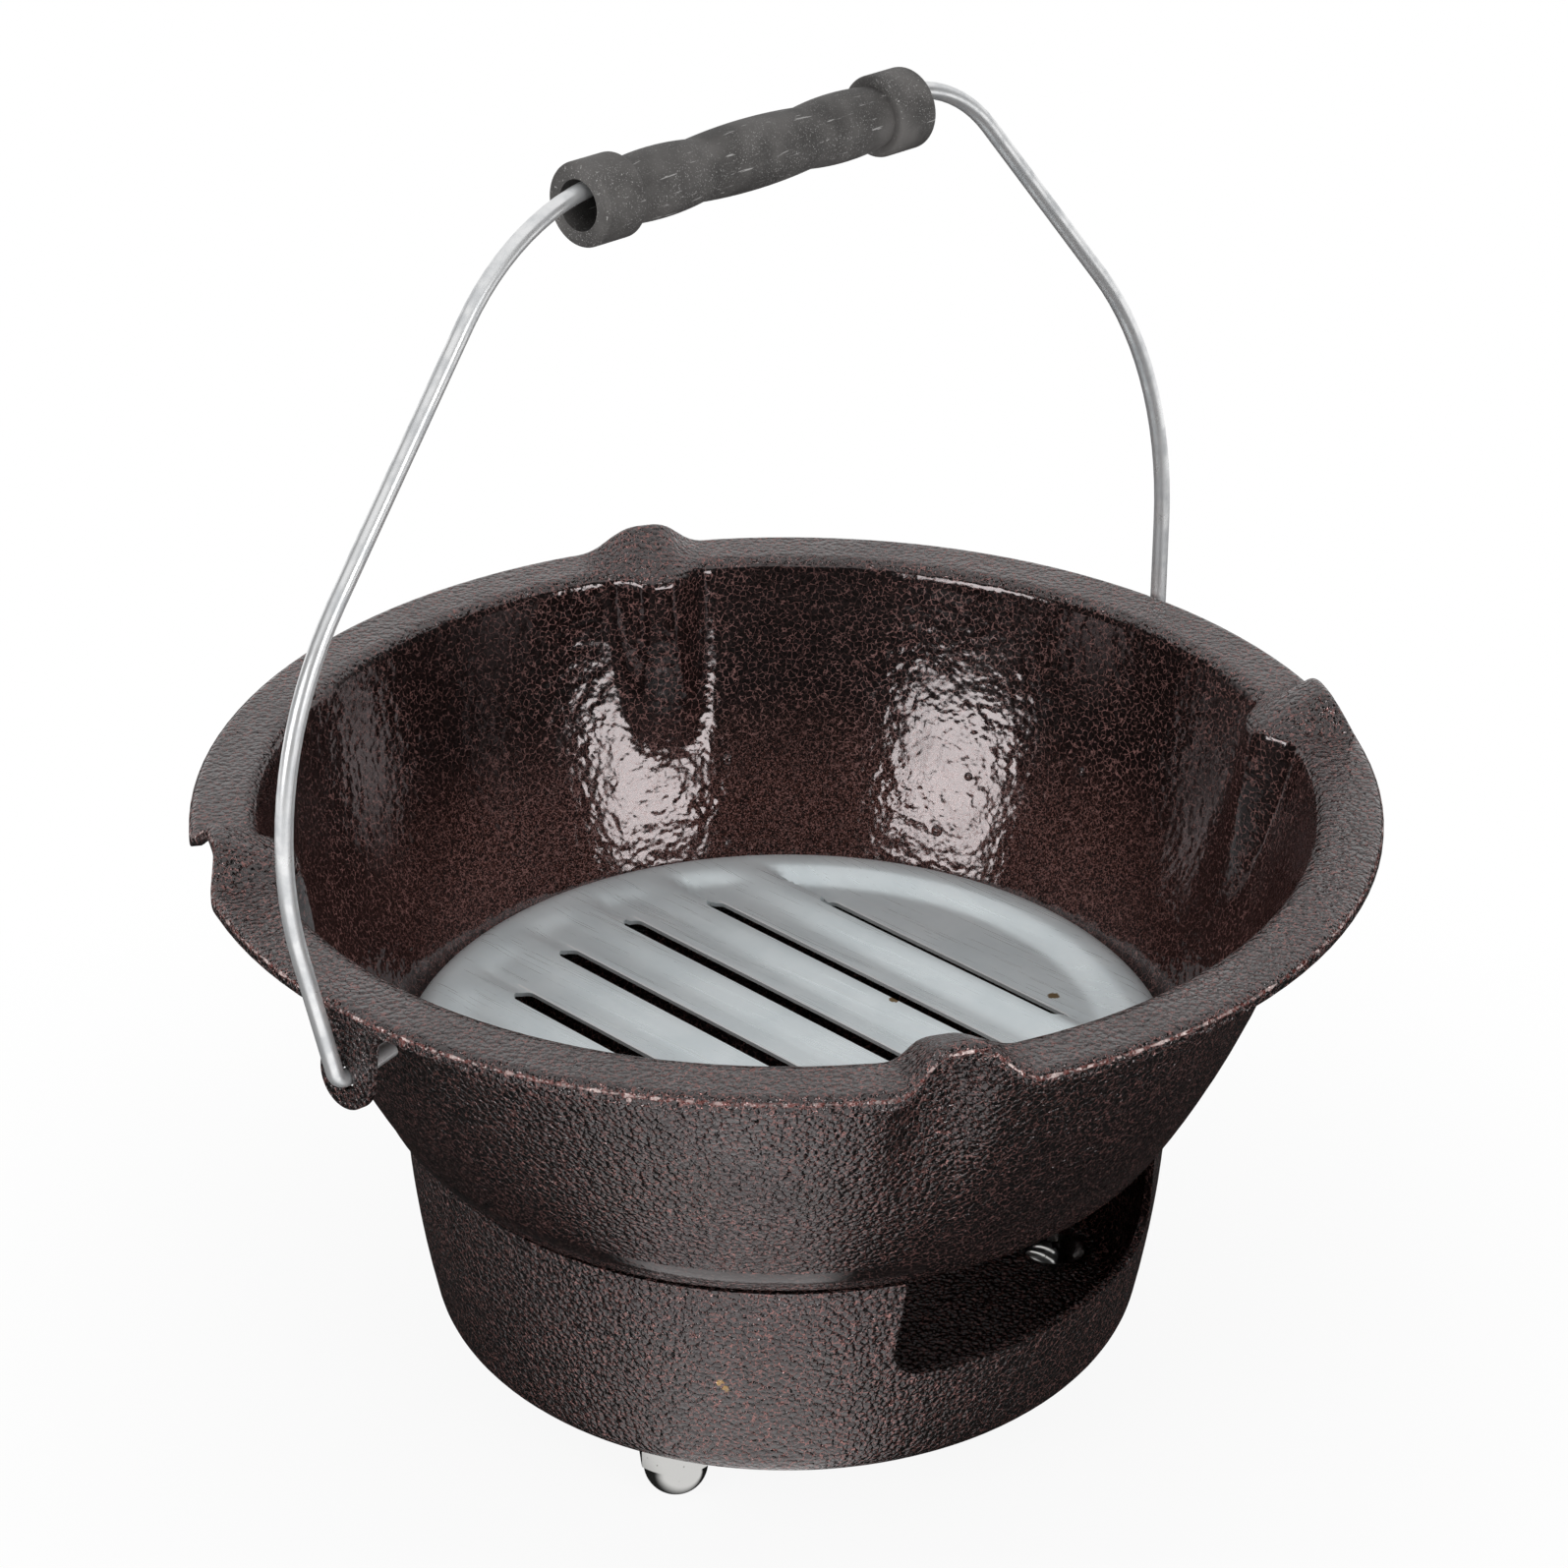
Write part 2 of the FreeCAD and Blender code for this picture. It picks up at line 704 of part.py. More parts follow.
def make_ear(name, turn):
    """Bend an ear: a leg welded under the rim and a flared tab with the bail's hole."""
    body = new_body(name)
    gauge, flare = size("sheet_gauge"), size("ear_flare")
    bend, inner = size("ear_bend"), size("ear_bend") - gauge
    seat = -gauge
    outer = size("rim_dia") / 2 - gauge - size("ear_lip_gap")
    centre_x, centre_z = outer - bend * cosine(flare), seat - bend
    drop = size("ear_hole_drop") + size("ear_tail")
    length = (drop + centre_z - bend * sine(flare)) / cosine(flare)
    tip_x = centre_x + bend * cosine(flare) + length * sine(flare)
    tip_z = centre_z + bend * sine(flare) - length * cosine(flare)
    section = Draft(body, "ear_section", "XZ_Plane")
    section.outline([
        (centre_x - size("ear_leg"), seat),
        (centre_x - size("ear_leg"), seat - gauge),
        (centre_x, seat - gauge, (-1, inner)),
        (centre_x + inner * cosine(flare), centre_z + inner * sine(flare)),
        (tip_x - gauge * cosine(flare), tip_z - gauge * sine(flare)),
        (tip_x, tip_z),
        (centre_x + bend * cosine(flare), centre_z + bend * sine(flare), (1, bend)),
        (centre_x, seat),
    ])
    strip = pad(body, section, size("ear_width"), "strip", both_ways=True)
    half = size("ear_width") / 2
    tip = Vector(tip_x.value, 0, tip_z.value)
    tip -= Vector(math.cos(math.radians(flare.value)), 0, math.sin(math.radians(flare.value))) * gauge.value / 2
    tips = []
    for index, edge in enumerate(strip.Shape.Edges, start=1):
        away = edge.CenterOfMass - tip
        if abs(Vector(away.x, 0, away.z).Length) < gauge.value / 4 and abs(away.y) > half.value / 2:
            tips.append(f"Edge{index}")
    ends = body.newObject("PartDesign::Fillet", "tab_ends")
    ends.Base = (strip, tips)
    bind(ends, "Radius", half - size("seam_gap"))
    body.Tip = ends
    doc.recompute()
    hole = Draft(body, "hole_outline", "YZ_Plane")
    hole.circle((0, -size("ear_hole_drop")), size("ear_hole_dia") / 2)
    pocket(body, hole, size("rim_dia"), "bail_hole", both_ways=True)
    stand(body, turn=turn, rise=size("rim_height"))
    bind(body, "Placement.Base.y", size("ear_setback"))
    return body


# Bail and grip


def make_bail():
    """Bend the bail's wire: two hooks, two legs and the straight run that carries the grip."""
    body = new_body("bail_wire")
    path = Draft(body, "bail_path", "XZ_Plane")
    corners, bends = {}, {}
    for side, sign in (("left", as_term(-1)), ("right", as_term(1))):
        corners[side] = [
            (sign * size("hook_reach"), size("hook_rise")),
            (sign * size("hook_corner"), 0),
            (sign * size("foot_corner"), 0),
            (sign * size(f"{side}_shoulder_reach"), size(f"{side}_shoulder_rise")),
            (sign * size(f"{side}_top_reach"), size(f"{side}_top_rise")),
        ]
        bends[side] = [size("hook_bend"), size("foot_bend")]
        bends[side] += [size(f"{side}_shoulder_bend"), size(f"{side}_top_bend")]
    path.bent_path(corners["right"] + corners["left"][::-1], bends["right"] + bends["left"][::-1])
    doc.recompute()
    wire = body.newObject("Sketcher::SketchObject", "wire_section")
    wire.AttachmentSupport = [(path.sketch, "Edge1")]
    wire.MapMode = "NormalToEdge"
    ring = Part.Circle(Vector(0, 0, 0), Vector(0, 0, 1), sheet.wire_dia / 2)
    geo = wire.addGeometry(ring, False)
    wire.addConstraint(Sketcher.Constraint("Coincident", geo, 3, -1, 1))
    index = wire.addConstraint(Sketcher.Constraint("Radius", geo, sheet.wire_dia / 2))
    bind(wire, f"Constraints[{index}]", size("wire_dia") / 2)
    doc.recompute()
    pipe = body.newObject("PartDesign::AdditivePipe", "wire")
    pipe.Profile = wire
    pipe.Spine = (path.sketch, [])
    body.Tip = pipe
    doc.recompute()
    turn_by(body, Vector(1, 0, 0), -size("bail_lean"))
    stand(body, rise=size("rim_height") - size("ear_hole_drop"))
    bind(body, "Placement.Base.y", size("ear_setback"))
    return body


def make_grip():
    """Turn the moulded grip: two collars and three swells round a wide bore."""
    body = new_body("grip")
    bore, collar = size("grip_bore_dia") / 2, size("grip_collar_dia") / 2
    half, waist = size("grip_length") / 2, size("grip_waist_dia") / 2
    width, ease = size("grip_collar_width"), size("grip_collar_round")
    swell = (size("grip_swell_dia") - size("grip_waist_dia")) / 2
    shoulder = half - width
    knuckle = shoulder - size("grip_end_swell")
    middle_arc = (knuckle * knuckle + swell * swell) / (swell * 2)
    chord = size("grip_end_swell") / 2
    end_arc = (chord * chord + swell * swell) / (swell * 2)
    section = Draft(body, "grip_section", "XZ_Plane")
    section.outline([
        (bore, -half),
        (collar - ease, -half, (1, ease)),
        (collar, ease - half),
        (collar, -shoulder - ease, (1, ease)),
        (collar - ease, -shoulder),
        (waist, -shoulder, (1, end_arc)),
        (waist, -knuckle, (1, middle_arc)),
        (waist, knuckle, (1, end_arc)),
        (waist, shoulder),
        (collar - ease, shoulder, (1, ease)),
        (collar, shoulder + ease),
        (collar, half - ease, (1, ease)),
        (collar - ease, half),
        (bore, half),
    ])
    revolve(body, section)
    drop = size("grip_bore_dia") / 2 - size("wire_dia") / 2 - size("grip_play")
    fall = size("left_top_rise") - size("right_top_rise")
    span = size("left_top_reach") + size("right_top_reach")
    run = root(fall * fall + span * span)
    across = size("grip_shift") - drop * fall / run
    along = size("left_top_rise") - (size("left_top_reach") + size("grip_shift")) * fall / span
    height = along - drop * span / run
    lean, axis = size("bail_lean"), size("rim_height") - size("ear_hole_drop")
    tilt = math.degrees(math.atan2(fall.value, span.value))
    lay = Rotation(Vector(0, 1, 0), RIGHT_ANGLE + tilt)
    body.Placement = Placement(Vector(0, 0, 0), Rotation(Vector(1, 0, 0), -lean.value) * lay)
    bind(body, "Placement.Base.x", across)
    bind(body, "Placement.Base.y", size("ear_setback") + height * sine(lean))
    bind(body, "Placement.Base.z", axis + height * cosine(lean))
    return body


# Grate


def grate_blank(name, depth, inset, low):
    """Turn a solid blank of the grate, its faces depth below the top and inset from the side."""
    body = new_body(name)
    side, bend = size("grate_dia") / 2 - inset, size("grate_shoulder") - inset
    section = Draft(body, f"{name}_section", "XZ_Plane")
    section.outline([
        (0, -low),
        (side, -low),
        (side, -depth - bend, (1, bend)),
        (side - bend, -depth),
        (0, -depth),
    ])
    revolve(body, section)
    return body


def grate_steps(name, depth):
    """Pad the stepped strips: a flat beside each slot that ramps up to the next one."""
    body = new_body(name)
    half, pitch = size("slot_width") / 2, size("slot_pitch")
    run, over = size("step_edge_run"), size("overrun")
    low = depth + size("step_depth")
    middle = (size("slot_count") - 1) / 2
    section = Draft(body, f"{name}_section", "XZ_Plane")
    count = int(sheet.slot_count)
    for number in range(count):
        place = (as_term(number) - middle) * pitch
        flat = place + half + size("step_flat")
        start = [(place - run, over), (place - run, -depth), (place + run, -low)]
        if number < count - 1:
            ramp = place + pitch - half
            section.outline(start + [(flat, -low), (ramp, -depth), (ramp, over)])
        else:
            side = size("grate_dia") / 2
            section.outline(start + [(side, -low), (side, over)])
    pad(body, section, size("grate_dia"), "strips", both_ways=True)
    return body


def grate_skin(name, depth, inset, low):
    """Return the grate's blank with its stepped pockets pressed in."""
    blank = grate_blank(f"{name}_blank", depth, inset, low)
    steps = grate_steps(f"{name}_steps", depth)
    limit = doc.addObject("Part::Cone", f"{name}_limit")
    deep, over = size("step_depth"), size("overrun")
    run = size("pocket_wall_run")
    bind(limit, "Radius1", size("pocket_dia") / 2 - run)
    bind(limit, "Radius2", size("pocket_dia") / 2 + over * run / deep)
    bind(limit, "Height", deep + over)
    bind(limit, "Placement.Base.z", -depth - deep)
    pockets = boolean("Common", f"{name}_pockets", steps, limit)
    return boolean("Cut", f"{name}_skin", blank, pockets)


def make_grate():
    """Press the grate from sheet and punch its slots."""
    gauge, deep = size("grate_gauge"), size("grate_depth")
    zero = gauge * 0
    upper = grate_skin("upper", zero, zero, deep)
    lower = grate_skin("lower", gauge, gauge, deep + size("overrun"))
    sheet_metal = boolean("Cut", "grate_sheet", upper, lower)
    punch = new_body("slot_punch")
    half, ring = size("slot_width") / 2, size("slot_circle_dia") / 2
    slots = Draft(punch, "slot_outlines", "XY_Plane")
    middle = (size("slot_count") - 1) / 2
    for number in range(int(sheet.slot_count)):
        place = (as_term(number) - middle) * size("slot_pitch")
        end = root(ring * ring - place * place) - half
        slots.outline([
            (place + half, -end), (place + half, end, (1, None)),
            (place - half, end), (place - half, -end, (1, None)),
        ])
    pad(punch, slots, size("grate_dia"), "slots", both_ways=True)
    grate = boolean("Cut", "charcoal_grate", sheet_metal, punch)
    grate.Label = "charcoal_grate"
    corner = size("bowl_corner") - size("sheet_gauge")
    out = (size("grate_dia") - size("ledge_dia")) / 2
    seat = size("rim_height") - size("bowl_depth") + size("bowl_corner") - root(corner * corner - out * out)
    stand(grate, turn=size("grate_turn"), rise=seat + size("grate_seat_gap") + deep)
    return grate


def check_and_write(items):
    """Check every object and each sub-part's solid, then write the sub-parts."""
    doc.recompute()
    for item in doc.Objects:
        if "Invalid" in item.State or "Error" in item.State:
            raise RuntimeError(f"{item.Label} has failed: {item.State}")
    for item in items:
        shape = item.Shape
        if shape.isNull() or not shape.isValid() or not shape.Solids:
            raise RuntimeError(f"{item.Label} has no valid solid")
    os.makedirs(OUT, exist_ok=True)
    for item in items:
        shape = item.Shape
        shape.exportStep(os.path.join(OUT, f"{item.Label}.step"))
        box = shape.BoundBox
        print(f"{item.Label}: {len(shape.Solids)} solid, {len(shape.Faces)} faces, {shape.Volume:.0f} mm3, "
              f"x {box.XMin:.1f} {box.XMax:.1f}, y {box.YMin:.1f} {box.YMax:.1f}, z {box.ZMin:.1f} {box.ZMax:.1f}")


def main():
    """Build the stove."""
    fill_sheet()
    items = [make_fire_bowl(), make_base_drum()]
    items += make_feet()
    items += [make_ear("ear_right", size("ear_width") * 0), make_ear("ear_left", as_term(FULL_TURN) / 2)]
    items += [make_bail(), make_grip(), make_grate()]
    check_and_write(items)


main()
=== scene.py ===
"""Looks of the charcoal stove: its finishes, its louvred grate, its beads of coat, and the studio."""

import json
import logging
import math
from dataclasses import dataclass
from enum import Enum
from typing import Iterable, Sequence

import bpy
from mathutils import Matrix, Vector

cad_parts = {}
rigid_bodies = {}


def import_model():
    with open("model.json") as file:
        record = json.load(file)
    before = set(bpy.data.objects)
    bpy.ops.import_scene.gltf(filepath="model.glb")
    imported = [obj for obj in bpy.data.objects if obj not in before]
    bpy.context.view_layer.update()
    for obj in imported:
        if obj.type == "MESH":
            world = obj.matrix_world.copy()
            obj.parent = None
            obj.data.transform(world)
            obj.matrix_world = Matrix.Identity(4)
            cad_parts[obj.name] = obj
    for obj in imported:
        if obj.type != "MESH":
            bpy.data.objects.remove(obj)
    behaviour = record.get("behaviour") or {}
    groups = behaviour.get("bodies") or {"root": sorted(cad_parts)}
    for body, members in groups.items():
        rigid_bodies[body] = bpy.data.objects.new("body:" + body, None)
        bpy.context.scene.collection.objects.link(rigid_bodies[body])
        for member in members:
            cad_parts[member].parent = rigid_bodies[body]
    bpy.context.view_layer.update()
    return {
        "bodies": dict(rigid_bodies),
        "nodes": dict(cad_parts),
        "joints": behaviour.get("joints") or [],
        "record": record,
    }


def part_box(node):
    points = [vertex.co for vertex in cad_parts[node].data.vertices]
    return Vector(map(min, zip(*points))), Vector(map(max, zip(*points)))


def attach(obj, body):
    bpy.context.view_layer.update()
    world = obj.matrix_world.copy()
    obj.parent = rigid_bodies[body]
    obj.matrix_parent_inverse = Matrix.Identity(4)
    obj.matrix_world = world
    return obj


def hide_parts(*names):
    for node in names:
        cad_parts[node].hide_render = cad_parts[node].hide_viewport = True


Pair = tuple[float, float]
Colour = tuple[float, float, float, float]
Point = tuple[float, float, float]
Band = tuple[float, ...]  # a soft step's ends, and its results where they aren't 0 and 1
Shake = Pair  # how fine a wandering is, per metre, and how far it goes, in metres
Socket = bpy.types.NodeSocket
Drive = Socket | float
Value = Drive | Sequence[float] | None
Node = bpy.types.Node
Material = bpy.types.Material
Piece = bpy.types.Object
GRAIN: Pair = (3.0, 0.6)  # the detail and the roughness of a fine grain
CLOUDS: Pair = (4.0, 0.6)  # the same of soft clouds
SEED_SIZE = 0.001  # the side of the square that shrinks to a line's first point, in metres

log = logging.getLogger("stove")


def shade(red: float, green: float, blue: float) -> Colour:
    """A linear colour with full alpha."""
    return (red, green, blue, 1.0)


def grey(level: float) -> Colour:
    """A linear grey with full alpha."""
    return shade(level, level, level)


class Body(Enum):
    """The moving parts of the stove that the pieces made here ride on."""

    STOVE = "stove"
    GRATE = "grate"


class Slot(Enum):
    """The finishes that the stove's record names."""

    COAT = "coat"
    GALVANISED = "galvanised"
    WIRE = "wire"
    CHROME = "chrome"
    MOULDING = "moulding"


@dataclass(frozen=True)
class Patches:
    """A cloudy pattern cut by a soft step: its scale per metre, the step, and the pattern's own settings."""

    scale: float
    low: float
    high: float
    start: float = 0.0
    end: float = 1.0
    detail: float = 2.0
    rough: float = 0.5


class Wiring:
    """Makes one material or world and lays its nodes out from left to right."""

    node_width = 190
    node_drop = 120
    rag_scale = 900.0
    spot_core = 0.7

    def __init__(self, name: str, world: bool = False) -> None:
        """Starts an empty material or world.

        Args:
            name: its name.
            world: True for a world.
        """
        self.owner = (bpy.data.worlds if world else bpy.data.materials).new(name)
        self.owner.use_nodes = True
        self.tree = self.owner.node_tree
        self.tree.nodes.clear()
        self.column = 0
        self.output = self.add("ShaderNodeOutputWorld" if world else "ShaderNodeOutputMaterial")
        self.place = self.add("ShaderNodeTexCoord").outputs["Object"]

    def add(self, kind: str, feeds: dict[int | str, Value] | None = None, **settings: object) -> Node:
        """Adds a node.

        Args:
            kind: the node's type.
            feeds: what its inputs are fed with, by number or name.
            settings: its properties by name.

        Returns:
            The node.
        """
        node = self.tree.nodes.new(kind)
        node.location = (self.column * self.node_width, -(self.column % 4) * self.node_drop)
        self.column += 1
        for key, value in settings.items():
            setattr(node, key, value)
        for key, value in (feeds or {}).items():
            self.feed(node.inputs[key], value)
        return node

    def feed(self, socket: Socket, value: Value) -> None:
        """Links a socket to another one, or sets it to a plain value.

        Args:
            socket: the socket that is fed.
            value: the other socket or the value, or None to leave it as it is.
        """
        if isinstance(value, Socket):
            self.tree.links.new(value, socket)
        elif value is not None:
            socket.default_value = value

    def sum(self, operation: str, first: Drive, second: Drive = 0.0, clamp: bool = False) -> Socket:
        """One arithmetic step, such as ADD, which the clamp keeps between 0 and 1."""
        node = self.add("ShaderNodeMath", {0: first, 1: second}, operation=operation, use_clamp=clamp)
        return node.outputs[0]

    def product(self, first: Drive, *others: Drive) -> Socket:
        """Multiplies numbers from left to right.

        Args:
            first: the first number.
            others: the numbers that it is multiplied by.

        Returns:
            The result.
        """
        for other in others:
            first = self.sum("MULTIPLY", first, other)
        return first

    def vector(self, operation: str, first: Value, second: Value = None) -> Node:
        """One step with vectors, which gives a vector as output 0 or a number as Value."""
        return self.add("ShaderNodeVectorMath", {0: first, 1: second}, operation=operation)

    def step(self, value: Drive, low: float, high: float, start: float = 0.0, end: float = 1.0) -> Socket:
        """A soft step of a value, from start where it is at low to end where it is at high."""
        feeds = dict(enumerate((value, low, high, start, end)))
        return self.add("ShaderNodeMapRange", feeds, interpolation_type="SMOOTHSTEP").outputs[0]

    def blend(self, amount: Drive, first: Value, second: Value) -> Socket:
        """Mixes two colours: an amount of 0 gives the first, 1 the second."""
        # A mix node's colours are its inputs 6 and 7 and its output 2.
        return self.add("ShaderNodeMix", {0: amount, 6: first, 7: second}, data_type="RGBA").outputs[2]

    def axes(self, place: Socket | None = None) -> tuple[Socket, ...]:
        """X, Y and Z of a place, or of the plain place on the stove, in metres."""
        return tuple(self.add("ShaderNodeSeparateXYZ", {0: place or self.place}).outputs)

    def reach(self) -> Socket:
        """The distance from the stove's upright middle line, in metres."""
        east, north, _ = self.axes()
        return self.sum("SQRT", self.sum("ADD", self.product(east, east), self.product(north, north)))

    def stretched(self, scale: Sequence[float], turn: Sequence[float] = (0.0, 0.0, 0.0)) -> Socket:
        """The place scaled along each axis, and then turned about each by an angle in degrees."""
        feeds = {"Vector": self.place, "Rotation": [math.radians(angle) for angle in turn], "Scale": scale}
        return self.add("ShaderNodeMapping", feeds, vector_type="POINT").outputs[0]

    def noise(
        self, place: Socket, scale: float, detail: float = 2.0, rough: float = 0.5, coloured: bool = False
    ) -> Socket:
        """A cloudy pattern around 0.5, at a scale per metre, or three such patterns as a colour."""
        feeds = {"Vector": place, "Scale": scale, "Detail": detail, "Roughness": rough}
        return self.add("ShaderNodeTexNoise", feeds).outputs[int(coloured)]

    def patches(self, kind: Patches, place: Socket | None = None) -> Socket:
        """A cloudy pattern cut by its soft step, drawn on the plain place or on another."""
        cloud = self.noise(place or self.place, kind.scale, kind.detail, kind.rough)
        return self.step(cloud, kind.low, kind.high, kind.start, kind.end)

    def cells(self, place: Socket, scale: float, feature: str = "F1") -> Socket:
        """The distance from a cell's middle (F1) or edge (DISTANCE_TO_EDGE), at a scale per metre."""
        feeds = {"Vector": place, "Scale": scale}
        return self.add("ShaderNodeTexVoronoi", feeds, feature=feature).outputs["Distance"]

    def specks(self, scale: float, band: Band, shake: Shake) -> Socket:
        """Ragged spots cut from a pattern of cells, from 0 to 1."""
        return self.step(self.cells(self.shaken(*shake), scale), *band)

    def shaken(self, scale: float, reach: float) -> Socket:
        """The place pushed about by a cloudy pattern, so that lines wander.

        Args:
            scale: how fine the pattern is, per metre.
            reach: how far a point may move, in metres.

        Returns:
            The new coordinates.
        """
        cloud = self.noise(self.place, scale, coloured=True)
        centred = self.vector("SUBTRACT", cloud, (0.5, 0.5, 0.5)).outputs[0]
        scaled = self.add("ShaderNodeVectorMath", {0: centred, "Scale": 2 * reach}, operation="SCALE")
        return self.vector("ADD", self.place, scaled.outputs[0]).outputs[0]

    def spot(self, centre: Point, size: float, rag: float) -> Socket:
        """A spot, from 0 to 1, with a radius and an outline that wanders by its rag, in metres."""
        distance = self.vector("DISTANCE", self.shaken(self.rag_scale, rag), centre).outputs["Value"]
        return self.step(distance, size, size * self.spot_core)

    def relief(self, height: Socket, depth: float, strength: Drive = 1.0, below: Value = None) -> Socket:
        """A bumpy normal: a height of 1 stands for the depth in metres, on top of the normal below."""
        feeds = {"Strength": strength, "Distance": depth, "Height": height, "Normal": below}
        return self.add("ShaderNodeBump", feeds).outputs[0]

    def ended(self, shader: Node) -> Material | bpy.types.World:
        """Ends in a shader, and returns what is finished by that."""
        self.feed(self.output.inputs["Surface"], shader.outputs[0])
        return self.owner

    def surface(self, **inputs: Value) -> Material:
        """Ends in a surface shader; its sockets' names have underscores for spaces."""
        feeds = {name.replace("_", " "): value for name, value in inputs.items()}
        return self.ended(self.add("ShaderNodeBsdfPrincipled", feeds))

    def mixed(self, share: Socket, first: Node, second: Node) -> Material:
        """Ends in a mix of two shaders: a share of 0 gives the first, 1 the second."""
        feeds = {0: share, 1: first.outputs[0], 2: second.outputs[0]}
        return self.ended(self.add("ShaderNodeMixShader", feeds))


@dataclass(frozen=True)
class HammeredCoat:
    """Black lacquer shrunk into leathery ripples, with copper veins that show between its islands."""

    name: str = "hammered_coat"
    ground: Colour = shade(0.0066, 0.0042, 0.0040)
    vein: Colour = shade(0.30, 0.150, 0.136)
    outer_ground: Colour = shade(0.0058, 0.0052, 0.0050)
    outer_vein: Colour = shade(0.44, 0.215, 0.195)
    # Colour of a painted reddish glow low on the bowl's inner far wall.
    painted_glow: Colour = shade(0.042, 0.0140, 0.0100)
    worn: Colour = shade(0.20, 0.055, 0.044)
    # Pale pink of the rim line: chips, partly a painted highlight.
    chip_and_highlight_tone: Colour = shade(0.78, 0.62, 0.59)
    scratch: Colour = shade(0.42, 0.24, 0.07)
    vein_scale: float = 640.0
    vein_band: Band = (0.0, 0.08, 1.0, 0.0)
    vein_shake: Shake = (1100.0, 0.0006)
    vein_breaks: Patches = Patches(760.0, 0.38, 0.62, 0.1, detail=3.0)
    vein_areas: Patches = Patches(22.0, 0.32, 0.64, 0.5)
    vein_share: float = 1.0
    vein_roughness: float = 0.14
    copper: float = 0.93
    pebble_scale: float = 760.0
    pebble_shake: Shake = (600.0, 0.0007)
    pebble_depth: float = 0.00080
    swell_scale: float = 330.0
    swell_depth: float = 0.00020
    inner_share: float = 0.03
    facing_band: Band = (-0.01, 0.02)
    gloss: Patches = Patches(60.0, 0.3, 0.7, 0.065, 0.135, detail=3.0)
    lacquer: float = 1.85
    warmth: Colour = shade(1.0, 0.90, 0.905)
    rim_height: float = 0.158
    rim_reach: float = 0.140
    rest_rise: float = 2.143
    worn_drop: Band = (0.00216, 0.00194)
    worn_grain: Patches = Patches(900.0, 0.42, 0.58)
    worn_share: float = 0.8
    # The pale rim line, partly chips and partly a painted highlight that is strongest where the camera sees
    # the rim side-on.
    chip_highlight_drop: Band = (0.00201, 0.00192)
    chip_highlight_areas: Patches = Patches(30.0, 0.34, 0.56, 0.2)
    chip_highlight_side: Band = (0.020, 0.055, 0.35, 1.0)
    chip_highlight_shake: Shake = (700.0, 0.0006)
    chip_highlight_beads: Patches = Patches(620.0, 0.47, 0.55)
    # Where the painted reddish glow lies: its side, its top and bottom heights, its grain, and the
    # vein-coloured specks in it.
    painted_glow_side: Band = (0.03, 0.12, 0.15, 1.0)
    painted_glow_top: Band = (0.088, 0.128, 1.0, 0.0)
    painted_glow_bottom: Band = (0.078, 0.084)
    painted_glow_grain: Patches = Patches(1200.0, 0.40, 0.60, 0.2, 1.3)
    painted_glow_specks: Patches = Patches(2400.0, 0.53, 0.62, 0.0, 0.75, detail=1.0)
    scratch_places: tuple[Point, ...] = ((-0.0761, -0.0500, 0.0503), (-0.0751, -0.0510, 0.0484))
    scratch_size: float = 0.0011
    scratch_rag: float = 0.0011

    def veins(self, wiring: Wiring) -> Socket:
        """Draws the broken copper network.

        Args:
            wiring: the material that is being made.

        Returns:
            The veins, from 0 to 1.
        """
        gap = wiring.cells(wiring.shaken(*self.vein_shake), self.vein_scale, "DISTANCE_TO_EDGE")
        line = wiring.step(gap, *self.vein_band)
        broken = wiring.patches(self.vein_breaks)
        areas = self.vein_areas
        cloud = wiring.noise(wiring.place, areas.scale)
        wide = wiring.step(cloud, areas.low, areas.high, areas.start * self.vein_share, self.vein_share)
        return wiring.product(line, broken, wide)

    def rim_wear_and_highlight(self, wiring: Wiring) -> tuple[Socket, Socket]:
        """Finds where the coat has drawn back from the rim's outer edge, and where a pale line runs along
        that edge. The line is partly chips and partly a painted highlight.

        Args:
            wiring: the material that is being made.

        Returns:
            The reddish thin coat, and the pale line in it that is partly chips and partly a painted
            highlight, strongest on the left and right of the rim as the camera sees it; each from 0 to 1.
        """
        east, north, up = wiring.axes()
        inset = wiring.sum("SUBTRACT", self.rim_reach, wiring.reach())
        drop = wiring.sum("SUBTRACT", self.rim_height, up)
        drop = wiring.sum("ADD", drop, wiring.product(inset, self.rest_rise))
        # Painted highlight share: the pale line is strongest where the rim is seen side-on from the camera.
        beside = wiring.sum("ABSOLUTE", wiring.sum("SUBTRACT", north, east))
        areas = wiring.product(wiring.patches(self.chip_highlight_areas), wiring.step(beside, *self.chip_highlight_side))
        beads = wiring.patches(self.chip_highlight_beads, wiring.shaken(*self.chip_highlight_shake))
        chips_and_highlight = wiring.product(wiring.step(drop, *self.chip_highlight_drop), beads, areas)
        return wiring.step(drop, *self.worn_drop), chips_and_highlight

    def painted_glow_share(self, wiring: Wiring) -> Socket:
        """Finds where a reddish glow is painted low in the bowl, mostly on its far side, whose inner wall
        faces the camera.

        Args:
            wiring: the material that is being made.

        Returns:
            Its share, from 0 to 1.
        """
        east, north, up = wiring.axes()
        side = wiring.step(wiring.sum("ADD", east, north), *self.painted_glow_side)
        between = wiring.product(wiring.step(up, *self.painted_glow_top), side, wiring.step(up, *self.painted_glow_bottom))
        return wiring.sum("MULTIPLY", between, wiring.patches(self.painted_glow_grain), clamp=True)

    def outward(self, wiring: Wiring) -> Socket:
        """Tells the stove's outer faces from its inner ones.

        Args:
            wiring: the material that is being made.

        Returns:
            1 on faces that look away from the stove's middle line, and 0 on those that look at it.
        """
        face = wiring.add("ShaderNodeNewGeometry").outputs["True Normal"]
        facing = wiring.vector("DOT_PRODUCT", face, wiring.place)
        return wiring.step(facing.outputs["Value"], *self.facing_band)

